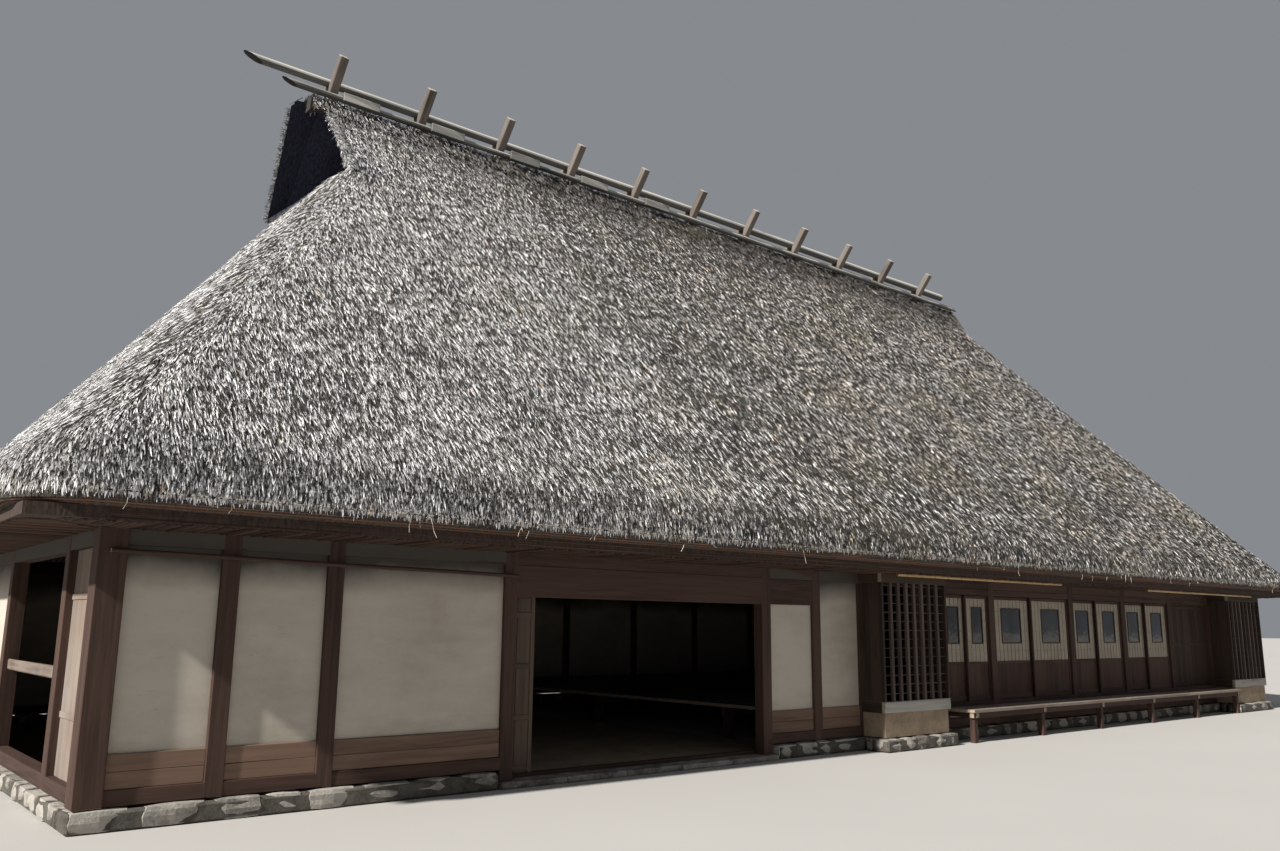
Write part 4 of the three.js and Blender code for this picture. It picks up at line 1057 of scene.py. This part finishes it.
class FARMHOUSE_OT_eave(Make, bpy.types.Operator):
    """Adds the reed bundles under the eave and along its edge"""

    bl_idname = "farmhouse.eave"
    bl_label = "Eave reeds"

    def make(self, scene):
        self.lay_bundles()
        self.bend_band()
        self.hang_strands(scene.farmhouse_thatch.loose_strands)
        dress("eave_bed", "eave_front", "eave_back", "eave_left", "eave_right")

    def lay_bundles(self):
        """Reeds side by side under the overhang, and four rows along its outer edge."""
        reed, pitch, corner = 0.020, 0.052, 0.55
        edge_reed, edge_rise, edge_length = 0.012, 0.0215, 1.9
        pieces = Pieces(151)
        random = pieces.random
        sides = ((RIGHT + EAVE_OUT, BACK, True), (BACK + EAVE_OUT, RIGHT, False))

        def inset(distance):
            """How far the rounded corner pulls the edge in, at a distance from the corner."""
            reach = max(0.0, corner - distance)
            return corner - math.sqrt(max(0.0, corner ** 2 - reach ** 2))

        for (edge, wall, along_x), sign in product(sides, SIGNS):
            for place in np.arange(-edge + 0.12, edge - 0.1, pitch):
                place = place + random.uniform(-0.006, 0.006)
                far = wall + EAVE_OUT - inset(edge - abs(place)) - 0.02
                near = wall + 0.10 + max(0.0, abs(place) - (edge - EAVE_OUT)) * 0.9
                if far - near < 0.08:
                    continue
                z = PLATE_TOP + 0.001 + random.uniform(0, 0.006)
                start = crosswise((place, sign * near, z), along_x)
                end = crosswise((place + random.uniform(-0.02, 0.02), sign * far, z), along_x)
                pieces.log(start, end, reed * random.uniform(0.7, 1.15), sides=6)
        for (edge, wall, along_x), sign, row in product(sides, SIGNS, range(4)):
            straight = edge - corner
            z = PLATE_TOP + 0.016 + row * edge_rise
            depth = sign * (wall + EAVE_OUT - 0.010)
            for start in np.arange(-straight, straight, 1.7):
                ends = [crosswise((x, depth, z + random.uniform(-0.003, 0.003)), along_x)
                        for x in (start, min(start + edge_length, straight))]
                pieces.log(*ends, edge_reed, sides=6, rings=3, crook=0.003)
        pieces.build("eave_reeds", "eave_reed", "reed")

    def bend_band(self):
        """Rods bent round the lip's lower edge."""
        band = Pieces(152)
        for z in (2.343, 2.359, 2.376, 2.393, 2.409):
            path = lip_line(np.interp(z, (2.33, 2.365, 2.44), (0.095, 0.012, 0.0)) + 0.009, z)
            path[:, 2] += 0.002 * ripple(path, 1.5, int(z * 1000))
            band.hoop(path, 0.0105)
        band.build("lip_band", "lip_reed", "reed")

    def hang_strands(self, count):
        """Loose stalks that hang from the lip."""
        root_thick, tip_thick = 0.0035, 0.002
        strands = Pieces(153)
        random = strands.random
        line = lip_line(0.005, 2.43)
        for _ in range(count):
            root = line[random.integers(len(line))] + random.uniform(-0.05, 0.05, 3) * (1, 0, 0.4)
            sway = (random.uniform(-0.07, 0.07), random.uniform(-0.01, 0.02))
            tip = root + (*sway, -random.uniform(0.05, 0.17))
            strands.log(root, tip, root_thick, tip_thick, sides=4, rings=4, crook=0.012)
        strands.build("loose_strands", "loose_strand", "thatch")


class FARMHOUSE_OT_ridge(Make, bpy.types.Operator):
    """Covers the ridge: cap straw, crossed timbers, logs, planks, blocks and straw rope"""

    bl_idname = "farmhouse.ridge"
    bl_label = "Ridge"

    def make(self, scene):
        self.pile_straw(scene.farmhouse_thatch.cap_straws)
        dress("bark_bed", "ridge_bark")
        rope = Pieces(164)
        self.cross_arms(rope)
        self.lay_logs()
        self.lay_planks()
        rope.build("ridge_rope", "straw_rope", "grey_wood")

    def cross_arms(self, rope):
        """Crossed timbers, the front arm of each pair standing up, lashed where they cross."""
        arms = Pieces(162)
        raised, stub, lashing = 0.37, 0.15, 0.068
        for index in range(ARMS):
            x = ARM_START + ARM_PITCH * index
            foot = 0.20 if index else 0.11
            for start, end in (((-raised, raised), (foot, -foot)), ((-foot, -foot), (stub, stub))):
                low, high = ((x, y, CROSSING + rise * ARM_LEAN) for y, rise in (start, end))
                arms.beam(low, high, ARM_SIZE - 0.004, 0.009, 0.004, (1, 0, 0.01))
            for sign in SIGNS:
                middle = (x, lashing * sign, CROSSING - lashing * ARM_LEAN)
                rope.coil(middle, (0, sign, -ARM_LEAN), ARM_SIZE * 0.70, 2.6, 0.010)
        arms.build("ridge_arms", "ridge_arm", "grey_wood", ("ridge_saddles",))

    def lay_logs(self):
        """The top log, and poles along both sides of the cap, each in three lengths."""
        logs = Pieces(163)
        pole_out, pole_height, overlap = 0.215, 8.821, 0.05
        logs.log((-8.87, 0, 9.111), (7.32, 0, 9.137), 0.058, 0.074, 16, 100, 0.03, 0.006, LOG_SLANT)
        for sign, left in ((-1, -8.40), (1, -7.90)):
            for first, last in pairwise((left, -3.0, 2.2, 7.42)):
                slant = LOG_SLANT * (first < -8)
                last = last + overlap * (last < 7)
                ends = ((x, pole_out * sign, pole_height) for x in (first, last))
                logs.log(*ends, 0.046, 0.042, 10, 30, 0.04, 0.003, slant)
        logs.build("ridge_logs", "silver_log", "grey_wood", ("ridge_log",))

    def lay_planks(self):
        """Planks on the front of the crossed timbers, and blocks on the pole below them."""
        planks, blocks = Pieces(165), Pieces(166)
        turn = math.atan(ARM_LEAN)
        up_slope = (0, math.cos(turn), math.sin(turn))
        outward = (0, -math.sin(turn), math.cos(turn))
        basis = np.array([(1, 0, 0), up_slope, outward]).T
        plank_place, plank_wide, plank_thick, gap = (-0.12, 8.894), 0.13, 0.03, 0.008
        for first, last in pairwise((-1.45, 1.62, 4.60, 7.70)):
            size = (last - first - gap, plank_wide, plank_thick)
            planks.block(((first + last) / 2, *plank_place), size, 0.003, 0, 0.002, basis)
        planks.build("ridge_planks", "ridge_arm", "grey_wood")
        block_place, block_size = (-0.235, 8.842), (0.56, 0.10, 0.13)
        for x in ARM_START + ARM_PITCH * np.arange(5):
            blocks.block((x + 0.35, *block_place), block_size, 0.008, 0, 0.004)
        blocks.build("ridge_blocks", "silver_log", "grey_wood")

    def pile_straw(self, count):
        """Straw heaped on the cap, and half as much again over the top of each slope."""
        straw = Pieces(161)
        random = straw.random
        corners, normals, areas = facets("ridge_bark")
        places, chosen = scatter(corners, areas * (normals[:, 2] > 0.25), count, random)
        around = normals[chosen]
        piled = np.interp(np.abs(places[:, 1]), (0.08, 0.16, 0.34), (0.3, 1.0, 0.5))
        places = places + around * (random.uniform(0, 0.065, count) * piled)[:, None]
        count = count // 2
        y = random.uniform(0.29, 0.50, count) * np.where(random.uniform(0, 1, count) < 0.5, -1, 1)
        x = random.uniform(-7.7, 7.48, count)
        raised = np.interp(np.abs(y), (0.29, 0.34, 0.50), (0.075, 0.06, 0.01))
        raised = random.uniform(0, 1, count) * raised
        slope = unit(np.stack([y * 0, np.sign(y) * SLOPE, y * 0 + 1], axis=1))
        low = np.stack([x, y, RIDGE_TOP - (np.abs(y) - RIDGE_HALF) * SLOPE], axis=1)
        places = np.concatenate([places, low + slope * raised[:, None]])
        around = np.concatenate([around, slope])
        lay_straws(straw, places, around, fall_line(around), 0.12, 0.014, 0.06, 0.16)
        straw.build("cap_straw", "ridge_straw", "bark")


class FARMHOUSE_OT_gable(Make, bpy.types.Operator):
    """Finishes the smoke gable's slats and the roof timbers"""

    bl_idname = "farmhouse.gable"
    bl_label = "Gable and trusses"

    def make(self, scene):
        dress("sooted_timber", "truss_1", "truss_2", "truss_3", "truss_4")
        dress("smoke_screen", "gable_screen")
        low, high = box_of("gable_screen")
        slat, pitch, narrowing = 0.055, 0.095, 0.55
        pieces = Pieces(171)
        for z in np.arange(low[2] + 0.07, high[2] - 0.08, pitch):
            rise = (z - low[2]) / (high[2] - low[2])
            half = (high[1] - low[1]) / 2 * (1 - narrowing * rise) - 0.03
            pieces.board((low[0] - 0.012, -half, z), (low[0] + 0.006, half, z + slat), 0.002, 1, 0.002)
        pieces.build("gable_slats", "dark_board", "sooted_wood")


class FARMHOUSE_OT_footing(Make, bpy.types.Operator):
    """Lays the footing stones"""

    bl_idname = "farmhouse.footing"
    bl_label = "Footing"

    def make(self, scene):
        usual = scene.farmhouse_wall.stone_length
        stones, core = Pieces(181), Pieces(182)
        deep, apron, kerb, top = 0.16, 0.54, 0.28, 0.17
        post_room, bay_room, shortest = 0.095, 0.15, 0.16

        def course(low, high, along):
            """Stones in a row along one axis, over a core that shows in their joints."""
            low, high = np.array((*low, 0.0)), np.array((*high, top))
            core.board((*low[:2] + 0.02, 0.0), high - 0.02, 0.02)
            place = low[along]
            while place < high[along] - 0.02:
                long = usual * stones.random.uniform(0.55, 1.35)
                if high[along] - place - long < shortest:
                    long = high[along] - place
                near, far = low.copy(), high.copy()
                near[along], far[along] = place, place + long
                shrink = stones.random.uniform(0, 0.012, 6)
                stones.stone(near + (shrink[0], shrink[1], 0),
                             far - (shrink[3], shrink[4], shrink[5] * 0.6))
                place += long

        first, last = along_front(ENTRANCE[0]) - post_room, along_front(ENTRANCE[1]) + post_room
        course((LEFT - deep, FRONT - deep), (first, FRONT + deep), 0)
        course((last, FRONT - deep), (RIGHT + deep, FRONT + deep), 0)
        course((LEFT - deep, BACK - deep), (RIGHT + deep, BACK + deep), 0)
        for x in (LEFT, RIGHT):
            course((x - deep, FRONT + deep), (x + deep, BACK - deep), 1)
        for start, end in LATTICE_BAYS:
            left, right = along_front(start) - bay_room, along_front(end) + bay_room
            front, inner = FRONT - apron, FRONT - apron + kerb
            course((left, front), (right, inner), 0)
            course((left, inner), (left + kerb, FRONT - deep), 1)
            course((right - kerb, inner), (right, FRONT - deep), 1)
        sides = ("front_left", "front_right", "back", "left", "right")
        stones.build("footing_stones", "field_stone", "stone", [f"footing_{side}" for side in sides])
        core.build("footing_core", "stone_bed", "stone")

        low, high = box_of("entrance_stone")
        slabs = Pieces(183)
        for start, end in pairwise(np.linspace(low[0], high[0], 6)):
            slabs.board((start + 0.003, low[1], 0), (end - 0.003, high[1], high[2]), 0.010, 0, 0.004)
        slabs.build("entrance_slabs", "field_stone", "stone", ("entrance_stone",))


class FARMHOUSE_OT_floors(Make, bpy.types.Operator):
    """Finishes the earth floor and lays the boards of the raised floor"""

    bl_idname = "farmhouse.floors"
    bl_label = "Floors"

    def make(self, scene):
        dress("beaten_earth", "earth_floor", "bay_1_base", "bay_2_base")
        dress("hidden_post", "floor_bearer_front", "floor_bearer_middle", "floor_bearer_back")
        low, high = box_of("raised_floor")
        pieces = Pieces(191)
        rows = pairwise(np.linspace(low[1], high[1], 41))
        joints = pairwise(np.linspace(low[0], high[0], 5))
        for (near, far), (start, end) in product(rows, joints):
            pieces.board((start + 0.001, near + 0.001, low[2]), (end - 0.001, far - 0.001, high[2]))
        pieces.build("floor_boards", "floor_board", "brown_wood", ("raised_floor",))


class Wall:
    """Places timbers on one wall: along it, out from its centre line, and up."""

    def __init__(self, seed, line, sign, along_x, posts):
        self.pieces = Pieces(seed)
        self.line, self.sign, self.along_x = line, sign, along_x
        along, modules = (along_front, LENGTH_MODULES) if along_x else (along_side, DEPTH_MODULES)
        self.stops = [along(module) for module in (0, *posts, modules)]

    def timber(self, along, out, height, edge=0.006, wear=0.003, pieces=None):
        ends = [crosswise((along[end], self.line + self.sign * out[end], height[end]), self.along_x)
                for end in range(2)]
        (pieces or self.pieces).board(np.min(ends, axis=0), np.max(ends, axis=0), edge, None, wear)

    def post(self, place, size, edge, bottom=STONE_TOP):
        half = size / 2
        self.timber((place - half, place + half), (-half, half), (bottom, PLATE_TOP - 0.001), edge)

    def rail(self, places, bottom, top, wear=0.003):
        half = POST / 2 - BEAM_SETBACK
        for span in pairwise(places):
            self.timber(span, (-half, half), (bottom, top), 0.005, wear)

    def skin(self, places, coat):
        """Plaster over the plate, between posts."""
        inner, outer = 0.069, 0.0735
        for span in pairwise(places):
            height = (PLATE_BOTTOM + 0.001, PLATE_TOP - 0.003)
            self.timber(span, (inner, outer), height, 0.001, 0, coat)

    def dado(self, places, boards):
        """Two boards over the foot of the plaster, between posts."""
        inner, outer, pitch, tall = 0.036, 0.056, 0.13, 0.127
        for (start, end), row in product(pairwise(places), range(2)):
            height = (SILL_TOP + row * pitch, SILL_TOP + row * pitch + tall)
            span = (start + POST / 2 + 0.002, end - POST / 2 - 0.002)
            self.timber(span, (inner, outer), height, 0.003, 0.002, boards)


class FARMHOUSE_OT_frames(Make, bpy.types.Operator):
    """Puts up the posts, sills, plates and wall boards, and finishes the plaster"""

    bl_idname = "farmhouse.frames"
    bl_label = "Walls and frames"

    def make(self, scene):
        edge = scene.farmhouse_timber.chamfer
        boards, coat = Pieces(201), Pieces(206)
        front = Wall(202, FRONT, -1, True, FRONT_POSTS)
        back = Wall(203, BACK, 1, True, BACK_POSTS)
        left = Wall(204, LEFT, -1, False, LEFT_POSTS)
        right = Wall(205, RIGHT, 1, False, RIGHT_POSTS)

        def between(start, end):
            """The front's post lines from one module to another."""
            low, high = along_front(start) - 0.01, along_front(end) + 0.01
            return [place for place in front.stops if low < place < high]

        for module in FRONT_POSTS:
            bottom = EARTH_TOP if module in ENTRANCE else STONE_TOP
            front.post(along_front(module), POST, edge, bottom)
        front.rail(between(0, 4), STONE_TOP, SILL_TOP)
        front.rail(between(8, 24), STONE_TOP, SILL_TOP)
        front.rail(front.stops, PLATE_BOTTOM, PLATE_TOP - 0.002)
        front.rail(between(4, 9), LINTEL_BOTTOM, PLATE_BOTTOM)
        front.rail(between(*SCREEN_RUN), SCREEN_HEAD, PLATE_BOTTOM, RUNNER_WEAR)
        front.rail(between(*SCREEN_RUN), 0.43, FLOOR_TOP, RUNNER_WEAR)
        foot_track, head_track, track_out = (0.06, 0.10), (1.88, 1.92), (-0.16, -0.072)
        for track in (foot_track, head_track):
            front.timber((along_front(2) + 0.07, along_front(8)), track_out, track, 0.003)
        for wall in (back, left, right):
            for place in wall.stops[1:-1]:
                wall.post(place, POST, edge)
            wall.rail(wall.stops, STONE_TOP, SILL_TOP)
            wall.rail(wall.stops, PLATE_BOTTOM, PLATE_TOP - 0.002)
        for wall, x in product((front, back), (LEFT, RIGHT)):
            wall.post(x, CORNER_POST, edge)
        for wall, places in ((front, between(0, 4)), (front, between(8, 10)), (back, back.stops),
                             (right, right.stops), (left, left.stops[2:])):
            wall.dado(places, boards)
        for wall, places in ((front, between(0, 4)), (front, between(8, 10)),
                             (front, between(11.4, 12)), (back, back.stops), (left, left.stops),
                             (right, right.stops)):
            wall.skin(places, coat)
        for side, wall in (("front", front), ("back", back), ("left", left), ("right", right)):
            wall.pieces.build(f"{side}_posts", "old_post", "dark_wood", (f"{side}_frame",))
        boards.build("wall_boards", "dado_board", "brown_wood")
        coat.build("plate_plaster", "plaster", "plaster")
        dress("plaster", "front_wall_left", "front_wall_middle", "front_wall_low",
              "front_wall_right", "back_wall", "left_wall", "right_wall")


class FARMHOUSE_OT_left_end(Make, bpy.types.Operator):
    """Makes the board panel and the bar of the left end"""

    bl_idname = "farmhouse.left_end"
    bl_label = "Left end"

    def make(self, scene):
        low, high = box_of("left_board_panel")
        panel = Pieces(211)
        for near, far in pairwise(np.linspace(low[1], high[1], 6)):
            panel.board((low[0] + 0.008, near + 0.001, low[2]),
                        (high[0] - 0.008, far - 0.001, high[2]), 0.003, 2, 0.002)
        for z in (0.75, 1.70):
            panel.board((*low[:2], z), (low[0] + 0.010, high[1], z + 0.05), 0.002, 1, 0.001)
        panel.build("left_panel_boards", "weathered_board", "brown_wood", ("left_board_panel",))
        bar = Pieces(212)
        bar.board(*box_of("left_bar"), 0.012, 1, 0.004)
        bar.build("left_stall_bar", "weathered_board", "brown_wood", ("left_bar",))


class FARMHOUSE_OT_bays(Make, bpy.types.Operator):
    """Makes the two lattice bays"""

    bl_idname = "farmhouse.bays"
    bl_label = "Lattice bays"

    def make(self, scene):
        y0, y1 = FRONT - 0.455, FRONT - POST / 2
        foot, sill_top, cheek, deep = 0.47, 0.61, 0.035, y0 + 0.06
        bar_half, bar_foot, bar_head, rod, rod_pitch = 0.024, 0.605, 2.115, 0.009, 0.114
        for bay, (start, end) in enumerate(LATTICE_BAYS, 1):
            x0, x1 = along_front(start) - POST / 2, along_front(end) + POST / 2
            clear0, clear1 = x0 + cheek, x1 - cheek
            bars, sill, case = Pieces(220 + bay), Pieces(225 + bay), Pieces(230 + bay)
            for x in np.linspace(clear0, clear1, 9)[1:-1]:
                bars.board((x - bar_half, y0 + 0.008, bar_foot), (x + bar_half, y0 + 0.050, bar_head),
                           0.003, 2, 0.002)
            for z in np.arange(0.70, 2.10, rod_pitch):
                bars.board((clear0 - 0.003, y0 + 0.038, z), (clear1 + 0.003, y0 + 0.046, z + rod),
                           0.001, 0, 0.001)
            bars.build(f"bay_{bay}_bars", "lattice_bar", "brown_wood", (f"bay_{bay}_lattice",))

            sill.board((x0, y0, foot), (x1, deep, sill_top), 0.006, 0, 0.003)
            sill.board((clear0, deep, foot), (clear1, y1, 0.50), 0.003, 0)
            sill.build(f"bay_{bay}_sill", "weathered_sill", "brown_wood")
            case.board((x0, y0, PLATE_BOTTOM), (x1, deep, PLATE_TOP), 0.006, 0, 0.002)
            case.board((clear0, deep, 2.20), (clear1, y1, PLATE_TOP), 0.003, 0)
            for x in (x0, clear1):
                case.board((x, y0 + 0.001, 0.611), (x + cheek, deep, PLATE_BOTTOM), 0.003, 2, 0.001)
                for near, far, bottom, top, cut in (
                        (deep, y0 + 0.22, sill_top, PLATE_BOTTOM, (0.002, 2, 0.001)),
                        (y0 + 0.222, y1, sill_top, PLATE_BOTTOM, (0.002, 2, 0.001)),
                        (deep, y1, foot, sill_top, (0.003, 1)),
                        (deep, y1, PLATE_BOTTOM, PLATE_TOP, (0.003, 1))):
                    case.board((x + 0.004, near, bottom), (x + 0.031, far, top), *cut)
            case.build(f"bay_{bay}_case", "dark_board", "brown_wood", (f"bay_{bay}_frame",))


class FARMHOUSE_OT_screens(Make, bpy.types.Operator):
    """Makes the eight sliding screens"""

    bl_idname = "farmhouse.screens"
    bl_label = "Sliding screens"

    def make(self, scene):
        for index, (bay, side) in enumerate(product(range(1, 5), ("left", "right"))):
            self.make_leaf(f"screen_{bay}_{side}", 244 + 2 * index, scene.farmhouse_screens)

    def make_leaf(self, leaf, seed, settings):
        """One screen: boards below, a glass pane in the middle, and paper round it."""
        stile, head, foot, rim = 0.032, 0.045, 0.070, 0.018
        dado, paper_foot = 1.02, 1.02 + 0.035
        bars, paper, glass, muntins = (Pieces(seed + step) for step in (0, 40, 80, 120))
        (left, y0, bottom), (right, y1, top) = box_of(leaf)
        x0, x1, z1 = left + stile, right - stile, top - head
        for x in (left, x1):
            bars.board((x, y0, bottom), (x + stile, y1, top), 0.003, 2, 0.001)
        for low, high in ((bottom, bottom + foot), (dado, paper_foot), (z1, top)):
            bars.board((x0, y0 + 0.001, low), (x1, y1 - 0.001, high), 0.003, 0)
        for start, end in pairwise(np.linspace(x0, x1, 4)):
            bars.board((start, y0 + 0.010, bottom + foot), (end - 0.002, y1 - 0.008, dado), 0.002, 2)
        wide = (x1 - x0) * settings.pane_width
        pane0 = x0 + (x1 - x0 - wide) * 0.55
        pane1 = pane0 + wide
        pane_low, pane_high = settings.pane_bottom, settings.pane_top
        middle = y0 + 0.012
        for start, low, end, high in (
                (x0, paper_foot, x1, pane_low), (x0, pane_high, x1, z1),
                (x0, pane_low, pane0, pane_high), (pane1, pane_low, x1, pane_high)):
            centre = ((start + end) / 2, middle + 0.002, (low + high) / 2)
            paper.block(centre, (end - start, 0.003, high - low), 0.0005)
            paper.grain[-1] = paper.points[-1][:, [0, 2, 1]] - np.array((x0, paper_foot, 0))
        half = settings.muntin / 2
        for x in np.arange(x0 + settings.column, x1 - 0.03, settings.column):
            crossing = ((paper_foot, pane_low), (pane_high, z1))
            for low, high in crossing if pane0 < x < pane1 else ((paper_foot, z1),):
                muntins.board((x - half, middle - 0.006, low), (x + half, middle, high), 0.001, 2)
        for z in np.arange(paper_foot + settings.row, z1 - 0.03, settings.row):
            spans = ((x0, pane0), (pane1, x1)) if pane_low < z < pane_high else ((x0, x1),)
            for start, end in spans:
                muntins.board((start, middle - 0.007, z - half), (end, middle - 0.001, z + half),
                              0.001, 0)
        for start, end, low, high in (
                (pane0 - rim, pane0, pane_low, pane_high), (pane1, pane1 + rim, pane_low, pane_high),
                (pane0 - rim, pane1 + rim, pane_low - rim, pane_low),
                (pane0 - rim, pane1 + rim, pane_high, pane_high + rim)):
            bars.board((start, middle - 0.010, low), (end, middle + 0.006, high), 0.002)
        glass.board((pane0, middle, pane_low), (pane1, middle + 0.003, pane_high), 0.0005, 2)
        bars.build(f"{leaf}_bars", "old_post", "dark_wood", (leaf,), leaf)
        muntins.build(f"{leaf}_muntins", "muntin", "paper_screen", (), leaf)
        paper.build(f"{leaf}_paper", "screen_paper", "paper_screen", (), leaf)
        glass.build(f"{leaf}_glass", "dark_glass", "paper_screen", (), leaf)


class FARMHOUSE_OT_boarding(Make, bpy.types.Operator):
    """Makes the boarded wall and the sliding entrance door"""

    bl_idname = "farmhouse.boarding"
    bl_label = "Board wall and door"

    def make(self, scene):
        stile = 0.045
        for node, name, count, body, rails, kind, slot in (
                ("board_wall", "boarded_wall", 12, "house", (0.52, 1.25, 1.94), "dark_board",
                 "dark_wood"),
                ("entrance_door", "door_leaf", 9, "entrance_door", (0.12, 0.60, 1.10, 1.60, 1.79),
                 "door_board", "brown_wood")):
            low, high = box_of(node)
            pieces = Pieces(300 + count)
            for start, end in pairwise(np.linspace(low[0] + 0.001, high[0] - 0.001, count + 1)):
                pieces.board((start, low[1] + 0.012, low[2]), (end - 0.002, high[1] - 0.006, high[2]),
                             0.003, 2, 0.001)
            for x in (low[0], high[0] - stile):
                pieces.board((x, low[1] + 0.001, low[2]), (x + stile, *high[1:]), 0.003, 2)
            for z in rails:
                pieces.board((low[0] + stile, low[1] + 0.002, z),
                             (high[0] - stile, low[1] + 0.014, z + 0.05), 0.003, 0)
            pieces.build(name, kind, slot, (node,), body)


class FARMHOUSE_OT_veranda(Make, bpy.types.Operator):
    """Makes the veranda's planks, bearers and legs"""

    bl_idname = "farmhouse.veranda"
    bl_label = "Veranda"

    def make(self, scene):
        low, high = box_of("veranda")
        deck, leg_top, leg_half, bearer_half = 0.402, 0.37, 0.04, 0.035
        planks, legs = Pieces(321), Pieces(322)
        rows = pairwise(np.linspace(low[1], high[1], 5))
        joints = pairwise(np.linspace(low[0], high[0], 5))
        for (near, far), (start, end) in product(rows, joints):
            planks.board((start + 0.001, near + 0.002, deck), (end - 0.001, far - 0.002, high[2]),
                         0.005, 0, 0.002)
        for x in np.linspace(low[0] + 0.10, high[0] - 0.10, 6):
            legs.board((x - leg_half, low[1] + 0.05, low[2]), (x + leg_half, low[1] + 0.13, leg_top),
                       0.006, 2, 0.003)
            legs.board((x - bearer_half, low[1] + 0.02, 0.335), (x + bearer_half, high[1], deck),
                       0.004, 1)
        legs.board((low[0] + 0.02, low[1] + 0.03, 0.33), (high[0] - 0.02, low[1] + 0.10, 0.401),
                   0.006, 0, 0.002)
        planks.build("veranda_planks", "weathered_board", "brown_wood", ("veranda",))
        legs.build("veranda_legs", "old_post", "brown_wood")


class FARMHOUSE_OT_poles(Make, bpy.types.Operator):
    """Makes the bamboo poles under the eave and the rail along the wall"""

    bl_idname = "farmhouse.poles"
    bl_label = "Poles"

    def make(self, scene):
        thick, thin, y, z, knot_pitch = 0.0235, 0.0185, -5.06, 2.216, 0.31
        for order, (start, end) in enumerate(((10.2, 14.8), (18, 23)), 1):
            first, last = along_front(start), along_front(end)
            pole = Pieces(330 + order)
            pole.log((first, y, z), (last, y, z), thick, thin, 12, 2)
            for x in np.arange(first + 0.2, last - 0.1, knot_pitch):
                knot = thick + (thin - thick) * (x - first) / (last - first) + 0.0025
                pole.log((x - 0.004, y, z), (x + 0.004, y, z), knot, knot, 12, 2)
                pole.marks[-1] = pole.marks[-1] * (1, 0, 1) + (0, 1, 0)
            pole.build(f"bamboo_{order}", "bamboo", "bamboo", (f"bamboo_pole_{order}",))
        rail = Pieces(335)
        line = FRONT - 0.125
        rail.log((along_front(0) - 0.02, line, 2.06), (along_front(4) + 0.04, line, 2.00),
                 0.019, 0.017, 10, 16, 0.05, 0.002)
        rail.build("wall_pole", "old_post", "brown_wood", ("wall_rail",))


MAKERS = (
    FARMHOUSE_OT_stage, FARMHOUSE_OT_footing, FARMHOUSE_OT_floors, FARMHOUSE_OT_frames,
    FARMHOUSE_OT_left_end, FARMHOUSE_OT_bays, FARMHOUSE_OT_screens, FARMHOUSE_OT_boarding,
    FARMHOUSE_OT_veranda, FARMHOUSE_OT_poles, FARMHOUSE_OT_eave, FARMHOUSE_OT_gable,
    FARMHOUSE_OT_ridge, FARMHOUSE_OT_thatch,
)


class FARMHOUSE_PT_pieces(bpy.types.Panel):
    """The farmhouse's settings and pieces"""

    bl_label = "Farmhouse"
    bl_idname = "FARMHOUSE_PT_pieces"
    bl_space_type = "VIEW_3D"
    bl_region_type = "UI"
    bl_category = "Farmhouse"

    def draw(self, context):
        for name, settings in SETTINGS.items():
            box = self.layout.box()
            for title in settings.__annotations__:
                box.prop(getattr(context.scene, name), title)
        for maker in MAKERS:
            self.layout.operator(maker.bl_idname)


def register():
    for name, settings in SETTINGS.items():
        bpy.utils.register_class(settings)
        setattr(bpy.types.Scene, name, PointerProperty(type=settings))
    for kind in (*MAKERS, FARMHOUSE_PT_pieces):
        bpy.utils.register_class(kind)


def unregister():
    for kind in reversed((*MAKERS, FARMHOUSE_PT_pieces)):
        bpy.utils.unregister_class(kind)
    for name, settings in SETTINGS.items():
        delattr(bpy.types.Scene, name)
        bpy.utils.unregister_class(settings)


def main():
    register()
    for maker in MAKERS:
        group, name = maker.bl_idname.split(".")
        getattr(getattr(bpy.ops, group), name)()


if __name__ == "__main__":
    main()
